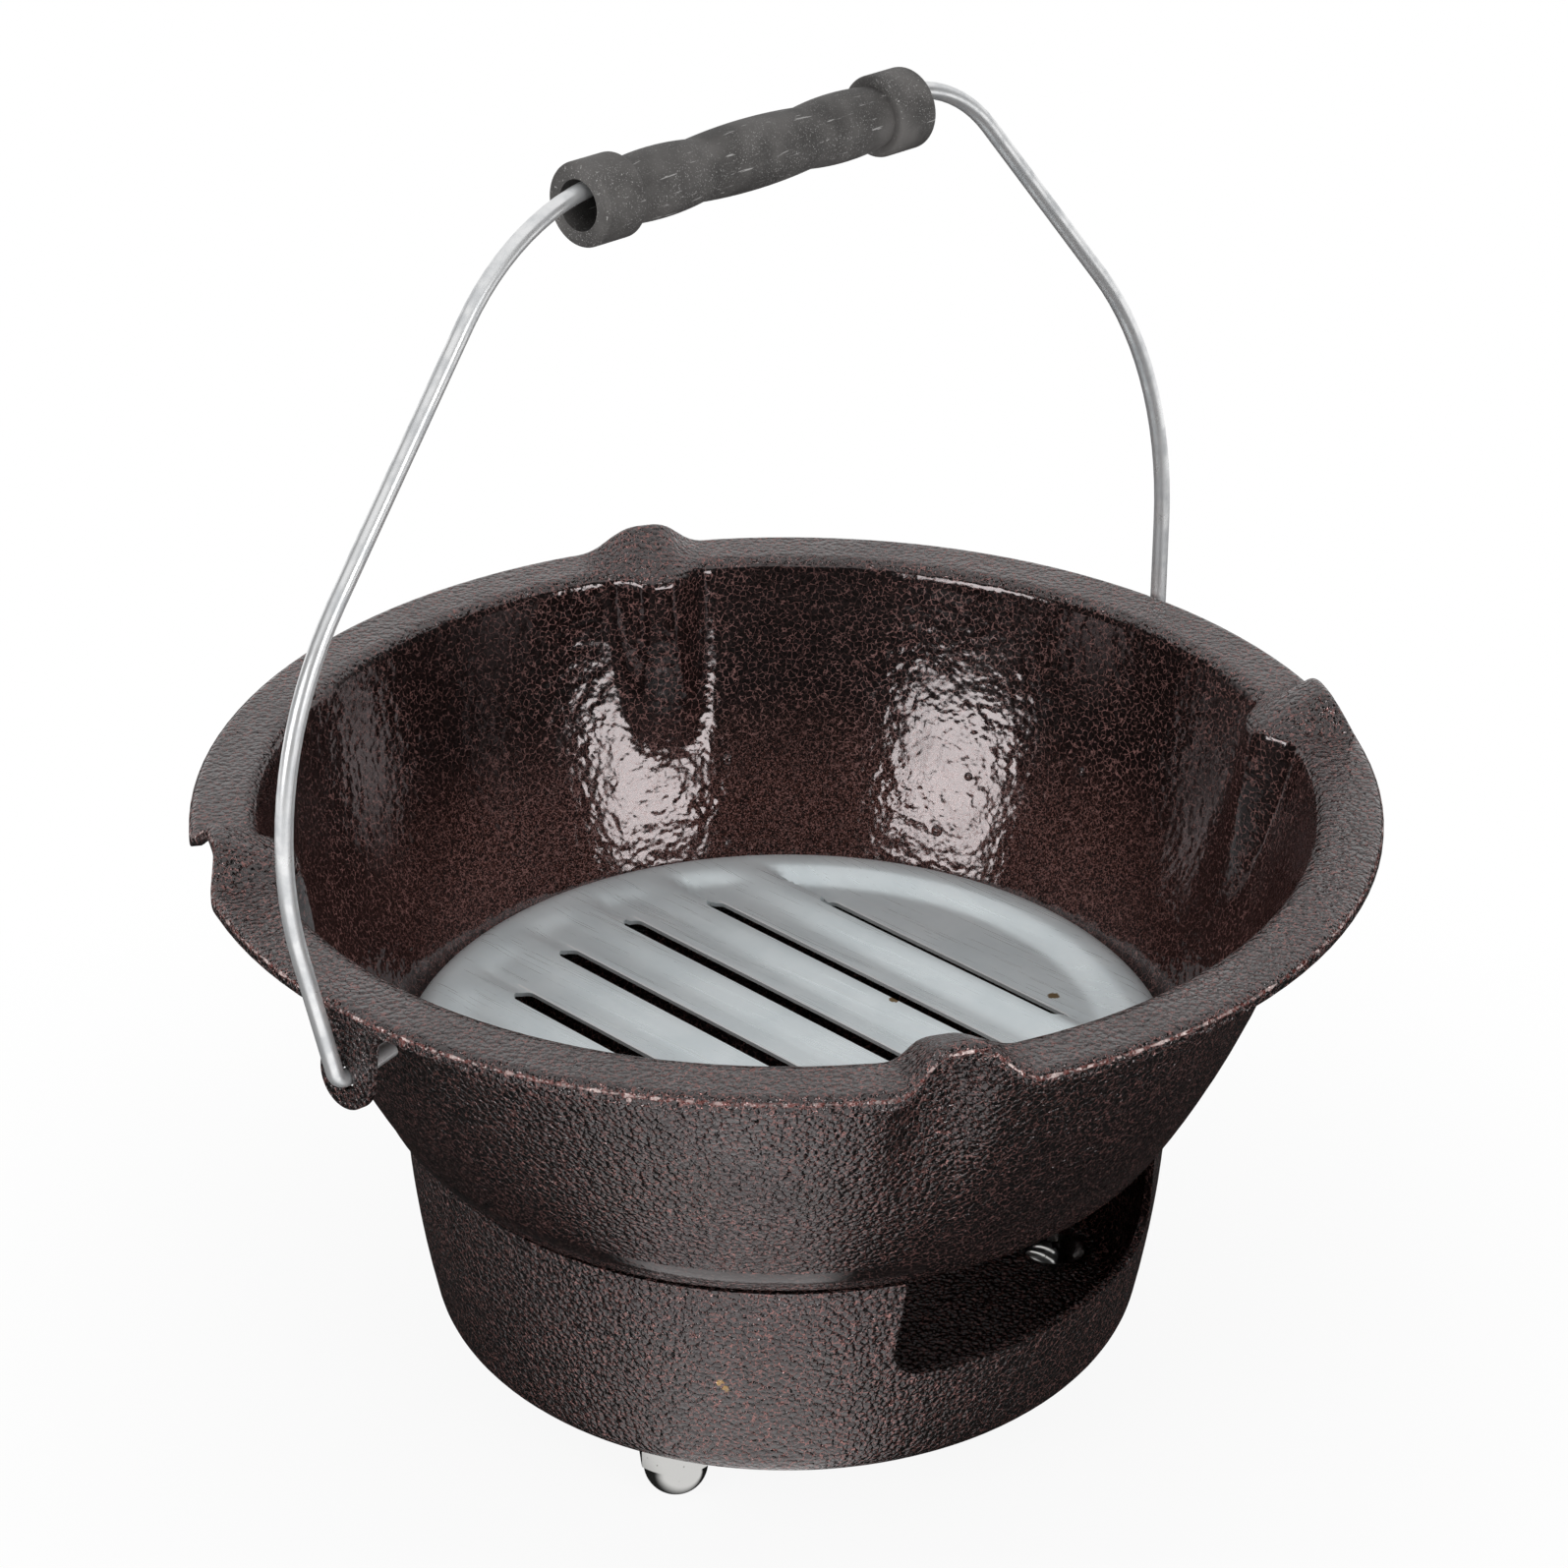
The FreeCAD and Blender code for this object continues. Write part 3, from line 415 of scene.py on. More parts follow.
    def hammered(self, wiring: Wiring, outward: Socket) -> Socket:
        """The coat's relief: a slow swell, and rounded pebbles with creases between them.

        Args:
            wiring: the material that is being made.
            outward: 1 on the stove's outer faces.

        Returns:
            The normal.
        """
        normal = wiring.relief(wiring.noise(wiring.place, self.swell_scale, detail=1.0), self.swell_depth)
        from_middle = wiring.cells(wiring.shaken(*self.pebble_shake), self.pebble_scale)
        pebbles = wiring.sum("SUBTRACT", 1.0, wiring.product(from_middle, from_middle))
        strength = wiring.step(outward, 0.0, 1.0, self.inner_share)
        return wiring.relief(pebbles, self.pebble_depth, strength, normal)

    def colour(self, wiring: Wiring, veins: Socket, outward: Socket) -> Socket:
        """The coat's colour, from the ground up to the scratch that lies over all of it.

        Args:
            wiring: the material that is being made.
            veins: the copper network.
            outward: 1 on the stove's outer faces.

        Returns:
            The colour.
        """
        edge, chips_and_highlight = self.rim_wear_and_highlight(wiring)
        # Painted reddish glow on the inner far wall, with vein-coloured specks painted in it.
        painted_glow = wiring.product(self.painted_glow_share(wiring), wiring.sum("SUBTRACT", 1.0, outward))
        ground = wiring.blend(painted_glow, wiring.blend(outward, self.ground, self.outer_ground), self.painted_glow)
        ground = wiring.blend(wiring.product(wiring.patches(self.painted_glow_specks), painted_glow), ground, self.vein)
        base = wiring.blend(veins, ground, wiring.blend(outward, self.vein, self.outer_vein))
        thin = wiring.product(edge, wiring.patches(self.worn_grain), self.worn_share)
        # Pale rim line: partly chips, partly a painted highlight.
        base = wiring.blend(chips_and_highlight, wiring.blend(thin, base, self.worn), self.chip_and_highlight_tone)
        for place in self.scratch_places:
            base = wiring.blend(wiring.spot(place, self.scratch_size, self.scratch_rag), base, self.scratch)
        return base

    def make(self) -> Material:
        """Builds the coat's material.

        Returns:
            The material.
        """
        wiring = Wiring(self.name)
        outward = self.outward(wiring)
        veins = self.veins(wiring)
        rough = wiring.product(veins, self.vein_roughness)
        return wiring.surface(
            Base_Color=self.colour(wiring, veins, outward),
            Metallic=wiring.product(veins, outward, self.copper),
            Roughness=wiring.sum("ADD", wiring.patches(self.gloss), rough, clamp=True),
            IOR=self.lacquer,
            Specular_Tint=self.warmth,
            Normal=self.hammered(wiring, outward),
        )


@dataclass(frozen=True)
class GalvanisedSheet:
    """Zinc-coated sheet with fine drawing lines along its slots and a painted highlight beside each."""

    pale: Colour = shade(0.90, 0.965, 0.985)
    dull: Colour = shade(0.80, 0.875, 0.90)
    # Bright tone of the drawing lines, also used for the painted slot highlights.
    bright: Colour = shade(0.95, 0.96, 0.965)
    fleck: Colour = shade(0.20, 0.13, 0.055)
    clouds: Patches = Patches(55.0, 0.25, 0.75, detail=4.0, rough=0.6)
    metal: float = 0.50
    roughness: Band = (0.3, 0.7, 0.25, 0.39)
    slot_turn: float = -2.0
    line_stretch: Point = (1.0, 0.018, 0.35)
    line_scale: float = 2300.0
    line_band: Band = (0.60, 0.74, 0.0, 0.5)
    line_depth: float = 0.000010
    line_strength: float = 0.7
    wide_lines: Patches = Patches(420.0, 0.4, 0.7, 0.0, 0.06)
    scuff_turn: float = 34.0
    scuff_stretch: Point = (0.03, 1.0, 1.0)
    scuffs: Patches = Patches(900.0, 0.70, 0.76, 0.0, 0.4)
    slot_pitch: float = 0.022
    slot_half: float = 0.003
    slot_reach: float = 0.0712
    # The painted slot highlights: where they start and end past each slot's edge, their fade at the slots'
    # ends, and their low metallic share, which keeps them bright.
    slot_highlight_start: Band = (-0.00015, 0.0)
    slot_highlight_end: Band = (0.0003, 0.0007)
    slot_highlight_fade: float = 0.001
    slot_highlight_metal: float = 0.2
    flecks: tuple[Point, ...] = ((0.0295, -0.0089, 0.0896), (0.0615, -0.0332, 0.0867))
    fleck_size: float = 0.0016
    fleck_rag: float = 0.0009

    def painted_slot_highlights(self, wiring: Wiring) -> Socket:
        """Draws a painted highlight along the upper side of each slot.

        Args:
            wiring: the material that is being made.

        Returns:
            The painted highlights, from 0 to 1.
        """
        across, _, _ = wiring.axes(wiring.stretched((1.0, 1.0, 1.0), (0.0, 0.0, -self.slot_turn)))
        turns = wiring.sum("FRACT", wiring.sum("DIVIDE", across, self.slot_pitch))
        past = wiring.product(wiring.sum("SUBTRACT", turns, 0.5), self.slot_pitch)
        start = wiring.step(past, *(self.slot_half + offset for offset in self.slot_highlight_start))
        end = wiring.step(past, *(self.slot_half + offset for offset in self.slot_highlight_end), 1.0, 0.0)
        within = wiring.step(wiring.reach(), self.slot_reach - self.slot_highlight_fade, self.slot_reach, 1.0, 0.0)
        return wiring.product(start, end, within)

    def make(self) -> Material:
        """Builds the sheet's material.

        Returns:
            The material.
        """
        wiring = Wiring("galvanised_sheet")
        along = wiring.stretched(self.line_stretch, (0.0, 0.0, -self.slot_turn))
        lines = wiring.noise(along, self.line_scale, *GRAIN)
        scuffed = wiring.stretched(self.scuff_stretch, (0.0, 0.0, self.scuff_turn))
        painted_slot_highlights = self.painted_slot_highlights(wiring)
        base = wiring.blend(wiring.patches(self.clouds), self.dull, self.pale)
        base = wiring.blend(wiring.step(lines, *self.line_band), base, self.bright)
        base = wiring.blend(wiring.patches(self.scuffs, scuffed), base, self.dull)
        for centre in self.flecks:
            base = wiring.blend(wiring.spot(centre, self.fleck_size, self.fleck_rag), base, self.fleck)
        rough = wiring.step(lines, *self.roughness)
        return wiring.surface(
            # The painted slot highlights are bright and nearly matt, so they stay light whatever they
            # reflect.
            Base_Color=wiring.blend(painted_slot_highlights, base, self.bright),
            Metallic=wiring.step(painted_slot_highlights, 0.0, 1.0, self.metal, self.slot_highlight_metal),
            Roughness=wiring.sum("ADD", rough, wiring.patches(self.wide_lines, along)),
            Normal=wiring.relief(lines, self.line_depth, self.line_strength),
        )


@dataclass(frozen=True)
class ZincWire:
    """Drawn wire with a bright zinc skin, dull patches and shallow marks."""

    bright: Colour = shade(0.94, 0.945, 0.95)
    dull: Colour = shade(0.74, 0.755, 0.77)
    metal: float = 0.72
    cloud_scale: float = 140.0
    dull_band: Band = (0.4, 0.66)
    roughness: Band = (0.35, 0.7, 0.27, 0.43)
    mark_scale: float = 900.0
    mark_depth: float = 0.000004
    mark_strength: float = 0.5

    def make(self) -> Material:
        """Builds the wire's material.

        Returns:
            The material.
        """
        wiring = Wiring("zinc_wire")
        clouds = wiring.noise(wiring.place, self.cloud_scale, *CLOUDS)
        marks = wiring.noise(wiring.place, self.mark_scale, *GRAIN)
        return wiring.surface(
            Base_Color=wiring.blend(wiring.step(clouds, *self.dull_band), self.bright, self.dull),
            Metallic=self.metal,
            Roughness=wiring.step(clouds, *self.roughness),
            Normal=wiring.relief(marks, self.mark_depth, self.mark_strength),
        )


@dataclass(frozen=True)
class ChromePlate:
    """Bright plating over turned steel, with faint turning rings and tiny pits."""

    plate: Colour = shade(0.60, 0.595, 0.58)
    pit: Colour = shade(0.22, 0.21, 0.20)
    roughness: Band = (0.3, 0.7, 0.05, 0.14)
    ring_stretch: Point = (0.05, 0.05, 1.0)
    ring_scale: float = 2600.0
    ring_depth: float = 0.000006
    ring_strength: float = 0.6
    pit_scale: float = 420.0
    pit_band: Band = (0.13, 0.08)
    pit_share: float = 0.7

    def make(self) -> Material:
        """Builds the plating's material.

        Returns:
            The material.
        """
        wiring = Wiring("chrome_plate")
        rings = wiring.noise(wiring.stretched(self.ring_stretch), self.ring_scale)
        pits = wiring.step(wiring.cells(wiring.place, self.pit_scale), *self.pit_band)
        return wiring.surface(
            Base_Color=wiring.blend(wiring.product(pits, self.pit_share), self.plate, self.pit),
            Metallic=1.0,
            Roughness=wiring.step(rings, *self.roughness),
            Normal=wiring.relief(rings, self.ring_depth, self.ring_strength),
        )


@dataclass(frozen=True)
class DustyMoulding:
    """Dark moulded plastic with a fine grain, dust in it and a few pale scratches along it."""

    ground: Colour = shade(0.050, 0.047, 0.045)
    lighter: Colour = shade(0.150, 0.142, 0.137)
    dust: Colour = shade(0.52, 0.51, 0.50)
    clouds: Patches = Patches(60.0, 0.35, 0.7, detail=3.0)
    grain_scale: float = 2400.0
    grain_band: Band = (0.46, 0.70, 0.0, 0.55)
    grain_depth: float = 0.00003
    grain_strength: float = 0.8
    roughness: Band = (0.3, 0.7, 0.54, 0.72)
    gathers: Patches = Patches(70.0, 0.40, 0.62, 0.12, detail=3.0)
    coarse_dust: tuple[float, Band, Shake] = (900.0, (0.15, 0.08), (1400.0, 0.0003))
    fine_dust: tuple[float, Band, Shake] = (1900.0, (0.30, 0.12, 0.0, 0.6), (1800.0, 0.0002))
    scratch_stretch: Point = (0.075, 1.0, 1.0)
    scratch_turn: Point = (0.0, -3.0, 6.0)
    scratches: Patches = Patches(1500.0, 0.67, 0.74, 0.0, 0.8)

    def make(self) -> Material:
        """Builds the moulding's material.

        Returns:
            The material.
        """
        wiring = Wiring("dusty_moulding")
        grain = wiring.noise(wiring.place, self.grain_scale, *GRAIN)
        base = wiring.blend(wiring.patches(self.clouds), self.ground, self.lighter)
        base = wiring.blend(wiring.step(grain, *self.grain_band), base, self.lighter)
        dust = wiring.sum("MAXIMUM", wiring.specks(*self.coarse_dust), wiring.specks(*self.fine_dust))
        dust = wiring.product(dust, wiring.patches(self.gathers))
        scratches = wiring.patches(self.scratches, wiring.stretched(self.scratch_stretch, self.scratch_turn))
        return wiring.surface(
            Base_Color=wiring.blend(wiring.sum("MAXIMUM", dust, scratches), base, self.dust),
            Roughness=wiring.step(grain, *self.roughness),
            Normal=wiring.relief(grain, self.grain_depth, self.grain_strength),
        )


def switch(mode: str) -> None:
    """Switches the active object to EDIT or OBJECT mode."""
    bpy.ops.object.mode_set(mode=mode)


def pick(action: str) -> None:
    """Selects or deselects the whole of the edited mesh."""
    bpy.ops.mesh.select_all(action=action)


def clear_selection() -> None:
    """Leaves edit mode if need be and deselects every object."""
    if bpy.context.object and bpy.context.object.mode != "OBJECT":
        switch("OBJECT")
    bpy.ops.object.select_all(action="DESELECT")


def face_out() -> None:
    """Turns all faces of the edited mesh outwards and leaves edit mode."""
    pick("SELECT")
    bpy.ops.mesh.normals_make_consistent(inside=False)
    switch("OBJECT")


def joined(pieces: Sequence[Piece]) -> Piece:
    """Puts the pieces' places in their meshes and joins them.

    Args:
        pieces: the pieces.

    Returns:
        The joined piece, which is active.
    """
    clear_selection()
    for piece in pieces:
        piece.select_set(True)
    bpy.context.view_layer.objects.active = pieces[0]
    bpy.ops.object.transform_apply(location=True, rotation=True, scale=True)
    bpy.ops.object.join()
    return bpy.context.object


def finish_piece(piece: Piece, name: str, material: Material, angle: float) -> None:
    """Names a new piece, puts its place in its mesh, and gives it its finish and smooth shading.

    Args:
        piece: the active object.
        name: the piece's name.
        material: its finish.
        angle: edges sharper than this, in degrees, stay sharp.
    """
    clear_selection()
    bpy.context.view_layer.objects.active = piece
    piece.select_set(True)
    bpy.ops.object.transform_apply(location=True, rotation=True, scale=True)
    piece.name = name
    piece.data.name = name
    piece.data.materials.clear()
    piece.data.materials.append(material)
    bpy.ops.object.shade_smooth_by_angle(angle=math.radians(angle))


def drawn_line(points: Sequence[Pair]) -> Piece:
    """Draws a line at the front of the stove, each of its points extruded from the last.

    Args:
        points: each point's reach from the middle and its height, in metres.

    Returns:
        The line, active and in edit mode.
    """
    reach, rise = points[0]
    clear_selection()
    bpy.ops.mesh.primitive_plane_add(size=SEED_SIZE, location=(0.0, -reach, rise))
    line = bpy.context.object
    bpy.ops.object.transform_apply(location=True, rotation=False, scale=False)
    switch("EDIT")
    pick("SELECT")
    bpy.ops.mesh.merge(type="CENTER")
    for (reach, rise), (next_reach, next_rise) in zip(points, points[1:]):
        step = (0.0, reach - next_reach, next_rise - rise)
        bpy.ops.mesh.extrude_vertices_move(TRANSFORM_OT_translate={"value": step})
    pick("SELECT")
    return line


def eased(value: float) -> float:
    """A soft step from 0 at 0 to 1 at 1."""
    share = min(max(value, 0.0), 1.0)
    return share * share * (3.0 - 2.0 * share)


@dataclass(frozen=True)
class Card:
    """A dark card around the stove, open in a wedge towards the camera.

    Its apex is a turn from the camera and a reach, and the wedge fades between two angles from its turn.
    """

    name: str
    rise: float
    apex: Pair
    turn: float
    edge: Pair
    hole: float = 0.0
    reach: float = 0.50


@dataclass
class Studio:
    """The floor, the lights, the camera, and the dark shapes that only gloss shows."""

    azimuth: float = -47.0
    elevation: float = 28.03
    distance: float = 1.050
    aim: Point = (0.0, 0.0, 0.158)
    lens: float = 102.31
    sensor: float = 36.0
    clip: Pair = (0.05, 40.0)
    frame_shift: float = -0.0015
    circle_sides: int = 96
    floor_reach: float = 6.0
    floor_tone: float = 0.9
    shadow_band: Band = (0.08, 0.32, 0.91, 1.0)
    world_level: float = 0.72
    box_turns: Pair = (38.5, -44.0)
    box_rise: float = 17.5
    box_distance: float = 1.55
    box_widths: Pair = (0.62, 0.74)
    box_height: float = 0.43
    box_glow: float = 19.0
    cards: tuple[Card, ...] = (
        Card("floor_card", 0.0008, (0.0, 0.060), -12.0, (65.0, 50.0)),
        Card("bowl_card", 0.0780, (-4.2, 0.0648), -11.8, (45.0, 26.0), hole=0.094),
    )
    card_tone: float = 0.05
    card_fade_share: float = 0.72
    hole_fade: float = 0.002
    room_reach: float = 2.6
    room_height: float = 2.6
    room_fade_share: float = 0.75
    room_edge: Pair = (-0.62, -0.30)

    def around(self, turn: float, rise: float, reach: float) -> Vector:
        """A point seen from the stove, turned from the camera's side by an angle.

        Args:
            turn: degrees to the right of the camera, as the camera sees it.
            rise: degrees above the floor.
            reach: the distance from the stove's middle, in metres.

        Returns:
            The point in the stove's frame.
        """
        bearing, lift = math.radians(self.azimuth + turn), math.radians(rise)
        flat = reach * math.cos(lift)
        return Vector((math.sin(bearing) * flat, -math.cos(bearing) * flat, reach * math.sin(lift)))

    def hung(self, data: bpy.types.Camera | bpy.types.Light, away: Vector) -> Piece:
        """Hangs a camera or a light so that it looks at the aim.

        Args:
            data: the camera or the light.
            away: its place, seen from the aim.

        Returns:
            Its object.
        """
        piece = bpy.data.objects.new(data.name, data)
        bpy.context.scene.collection.objects.link(piece)
        piece.location = Vector(self.aim) + away
        piece.rotation_mode = "QUATERNION"
        piece.rotation_quaternion = (-away).to_track_quat("-Z", "Y")
        return piece

    def camera(self) -> None:
        """Sets the camera up at the photograph's viewing angle."""
        data = bpy.data.cameras.new("camera")
        data.sensor_width, data.lens, data.shift_x = self.sensor, self.lens, self.frame_shift
        data.clip_start, data.clip_end = self.clip
        bpy.context.scene.camera = self.hung(data, self.around(0.0, self.elevation, self.distance))

    def disc(self, name: str, radius: float, rise: float) -> Piece:
        """Makes a level disc round the stove's middle line.

        Args:
            name: its name.
            radius: its radius, in metres.
            rise: its height above the floor, in metres.

        Returns:
            The disc.
        """
        clear_selection()
        bpy.ops.mesh.primitive_circle_add(
            vertices=self.circle_sides, radius=radius, fill_type="NGON", location=(0.0, 0.0, rise)
        )
        disc = bpy.context.object
        bpy.ops.object.transform_apply(location=True, rotation=False, scale=False)
        disc.name = name
        return disc

    def floor(self) -> None:
        """Lays the white floor, which keeps the stove's shadow near it."""
        floor = self.disc("floor", self.floor_reach, 0.0)
        wiring = Wiring("studio_floor")
        far = wiring.step(wiring.reach(), *self.shadow_band)
        path = wiring.add("ShaderNodeLightPath").outputs
        mirrored = wiring.sum("ADD", path["Is Glossy Ray"], path["Is Transmission Ray"])
        share = wiring.sum("ADD", wiring.product(path["Is Camera Ray"], far), mirrored, clamp=True)
        matt = wiring.add("ShaderNodeBsdfDiffuse", {"Color": grey(self.floor_tone)})
        glow = wiring.add("ShaderNodeEmission", {"Strength": 1.0})
        floor.data.materials.append(wiring.mixed(share, matt, glow))

    def world(self) -> None:
        """Makes the surroundings white to the eye and a soft grey as light."""
        wiring = Wiring("surroundings", world=True)
        path = wiring.add("ShaderNodeLightPath").outputs
        seen = wiring.sum("ADD", path["Is Camera Ray"], path["Is Glossy Ray"])
        seen = wiring.sum("ADD", seen, path["Is Transmission Ray"], clamp=True)
        level = wiring.sum("ADD", wiring.product(seen, 1.0 - self.world_level), self.world_level)
        bpy.context.scene.world = wiring.ended(wiring.add("ShaderNodeBackground", {"Strength": level}))

    def soft_boxes(self) -> None:
        """Hangs one soft box to each side of the camera."""
        for number, (turn, width) in enumerate(zip(self.box_turns, self.box_widths)):
            data = bpy.data.lights.new(f"soft_box_{number}", "AREA")
            data.shape = "RECTANGLE"
            data.size, data.size_y = width, self.box_height
            data.energy = self.box_glow * width * self.box_height
            self.hung(data, self.around(turn, self.box_rise, self.box_distance))

    def dark_card(self, card: Card) -> None:
        """Lays one dark card that only gloss shows.

        Args:
            card: its sizes and its opening.
        """
        piece = self.disc(card.name, card.reach, card.rise)
        wiring = Wiring(card.name)
        apex = self.around(card.apex[0], 0.0, card.apex[1])
        apex.z = card.rise
        heading = wiring.vector("NORMALIZE", wiring.vector("SUBTRACT", wiring.place, apex).outputs[0])
        facing = wiring.vector("DOT_PRODUCT", heading.outputs[0], self.around(card.turn, 0.0, 1.0))
        wide, narrow = (math.cos(math.radians(angle)) for angle in card.edge)
        opened = wiring.step(facing.outputs["Value"], wide, narrow)
        rim = wiring.step(wiring.reach(), card.reach * self.card_fade_share, card.reach)
        inside = wiring.step(wiring.reach(), card.hole, card.hole + self.hole_fade, 1.0, 0.0)
        self.gloss_only(piece, wiring, wiring.sum("MAXIMUM", wiring.sum("MAXIMUM", opened, rim), inside))

    def dark_room(self) -> None:
        """Stands the dark room that gloss shows behind the camera, open where the backdrop is."""
        clear_selection()
        height = self.room_height
        bpy.ops.mesh.primitive_cylinder_add(
            vertices=self.circle_sides, radius=self.room_reach, depth=height, end_fill_type="NOTHING"
        )
        room = bpy.context.object
        room.location.z = height / 2
        bpy.ops.object.transform_apply(location=True, rotation=False, scale=False)
        room.name = "dark_room"
        wiring = Wiring("dark_room")
        toward = self.around(0.0, 0.0, 1.0 / self.room_reach)
        facing = wiring.vector("DOT_PRODUCT", wiring.place, toward)
        opened = wiring.step(facing.outputs["Value"], *self.room_edge, 1.0, 0.0)
        _, _, up = wiring.axes()
        top = wiring.step(up, height * self.room_fade_share, height)
        self.gloss_only(room, wiring, wiring.sum("MAXIMUM", opened, top))

    def gloss_only(self, card: Piece, wiring: Wiring, clear_share: Socket) -> None:
        """Makes a card dark, clear where the share is 1, and seen by gloss alone.

        Args:
            card: the card's object.
            wiring: the material that is being made for it.
            clear_share: where the card is clear, from 0 to 1.
        """
        clear = wiring.add("ShaderNodeBsdfTransparent")
        matt = wiring.add("ShaderNodeBsdfDiffuse", {"Color": grey(self.card_tone)})
        card.data.materials.append(wiring.mixed(clear_share, matt, clear))
        card.visible_camera = False
        card.visible_diffuse = False
        card.visible_shadow = False

    def build(self) -> None:
        """Sets up the whole studio."""
        self.camera()
        self.world()
        self.floor()
        self.soft_boxes()
        for card in self.cards:
            self.dark_card(card)
        self.dark_room()


@dataclass
class Stove:
    """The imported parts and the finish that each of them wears."""

    frame: dict
    coat: HammeredCoat = HammeredCoat()
    sheet: GalvanisedSheet = GalvanisedSheet()
    wire: ZincWire = ZincWire()
    chrome: ChromePlate = ChromePlate()
    moulding: DustyMoulding = DustyMoulding()

    def paint(self, nodes: Iterable[str], material: Material) -> None:
        """Gives the named parts one finish.

        Args:
            nodes: the parts' names.
            material: the finish.
        """
        for name in nodes:
            part = self.frame["nodes"][name]
            part.data.materials.clear()
            part.data.materials.append(material)
            log.info("%s wears %s", name, material.name)

    def dress(self) -> dict[Slot, Material]:
        """Paints every part.

        Returns:
            The finished materials by slot.
        """
        finishes = {
            Slot.COAT: self.coat.make(),
            Slot.GALVANISED: self.sheet.make(),
            Slot.WIRE: self.wire.make(),
            Slot.CHROME: self.chrome.make(),
            Slot.MOULDING: self.moulding.make(),
        }
        feet = [f"foot_{part}_{side}" for part in ("screw", "nut") for side in ("left", "right", "back")]
        self.paint(("fire_bowl", "base_drum", "ear_left", "ear_right"), finishes[Slot.COAT])
        self.paint(("charcoal_grate",), finishes[Slot.GALVANISED])
        self.paint(("bail_wire",), finishes[Slot.WIRE])
        self.paint(feet, finishes[Slot.CHROME])
        self.paint(("grip",), finishes[Slot.MOULDING])
        return finishes


@dataclass(frozen=True)
class Blister:
    """A bubble in the coat: its middle on the sheet, the way it faces, and its radius, in metres."""

    middle: Point
    facing: Point
    radius: float


@dataclass
class CoatBeads:
    """Blisters in the bowl's wall and drops along the rim, where the wet coat has gathered."""

    finish: Material
    blisters: tuple[Blister, ...] = (
        Blister((0.06802, 0.08454, 0.10798), (-0.573, -0.709, 0.410), 0.0016),
        Blister((0.10375, 0.03200, 0.10816), (-0.878, -0.246, 0.410), 0.0012),
        Blister((0.09544, 0.03530, 0.09422), (-0.832, -0.295, 0.470), 0.0016),
        Blister((0.11242, 0.00141, 0.11729), (-0.925, -0.037, 0.378), 0.0012),
    )
    drops: tuple[Blister, ...] = (
        Blister((-0.13889, -0.01740, 0.15550), (-0.989, -0.126, 0.083), 0.0011),
        Blister((-0.13800, -0.02350, 0.15500), (-0.985, -0.160, -0.100), 0.0007),
        Blister((-0.13732, -0.02702, 0.15517), (-0.981, -0.192, 0.000), 0.0009),
        Blister((-0.13603, -0.03292, 0.15462), (-0.970, -0.242, 0.000), 0.0007),
        Blister((-0.12190, -0.06878, 0.15540), (-0.877, -0.481, -0.014), 0.0008),
    )
    segments: int = 20
    skirt: float = 0.34
    skirt_drop: float = 0.12
    squat: float = 0.62
    sunk: float = 0.18
    crease: float = 70.0

    def bead(self, blister: Blister) -> Piece:
        """Models one bead with a soft skirt where the coat runs back to the sheet.

        Args:
            blister: the bead's place and size.

        Returns:
            The bead, not yet joined to the others.
        """
        radius = blister.radius
        clear_selection()
        bpy.ops.mesh.primitive_uv_sphere_add(
            segments=self.segments, ring_count=self.segments // 2, radius=radius
        )
        bead = bpy.context.object
        switch("EDIT")
        pick("SELECT")
        bpy.ops.mesh.bisect(plane_co=(0.0, 0.0, 0.0), plane_no=(0.0, 0.0, 1.0), clear_inner=True)
        pick("DESELECT")
        bpy.ops.mesh.select_non_manifold()
        drop = (0.0, 0.0, -radius * self.skirt_drop)
        bpy.ops.mesh.extrude_region_move(TRANSFORM_OT_translate={"value": drop})
        bpy.ops.transform.resize(value=(1.0 + self.skirt, 1.0 + self.skirt, 1.0))
        bpy.ops.mesh.edge_face_add()
        face_out()
        bead.scale = (1.0, 1.0, self.squat)
        facing = Vector(blister.facing).normalized()
        bead.rotation_mode = "QUATERNION"
        bead.rotation_quaternion = facing.to_track_quat("Z", "Y")
        bead.location = Vector(blister.middle) - facing * (radius * self.sunk * self.squat)
        return bead

    def gather(self, name: str, beads: Sequence[Blister]) -> None:
        """Joins a group of beads into one piece that stays with the bowl.

        Args:
            name: the piece's name.
            beads: the beads' places and sizes.
        """
        piece = joined([self.bead(blister) for blister in beads])
        finish_piece(piece, name, self.finish, self.crease)
        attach(piece, Body.STOVE.value)
        log.info("%s: %d beads", name, len(beads))

    def build(self) -> None:
        """Makes the blisters and the drops."""
        self.gather("wall_blisters", self.blisters)
        self.gather("rim_drops", self.drops)


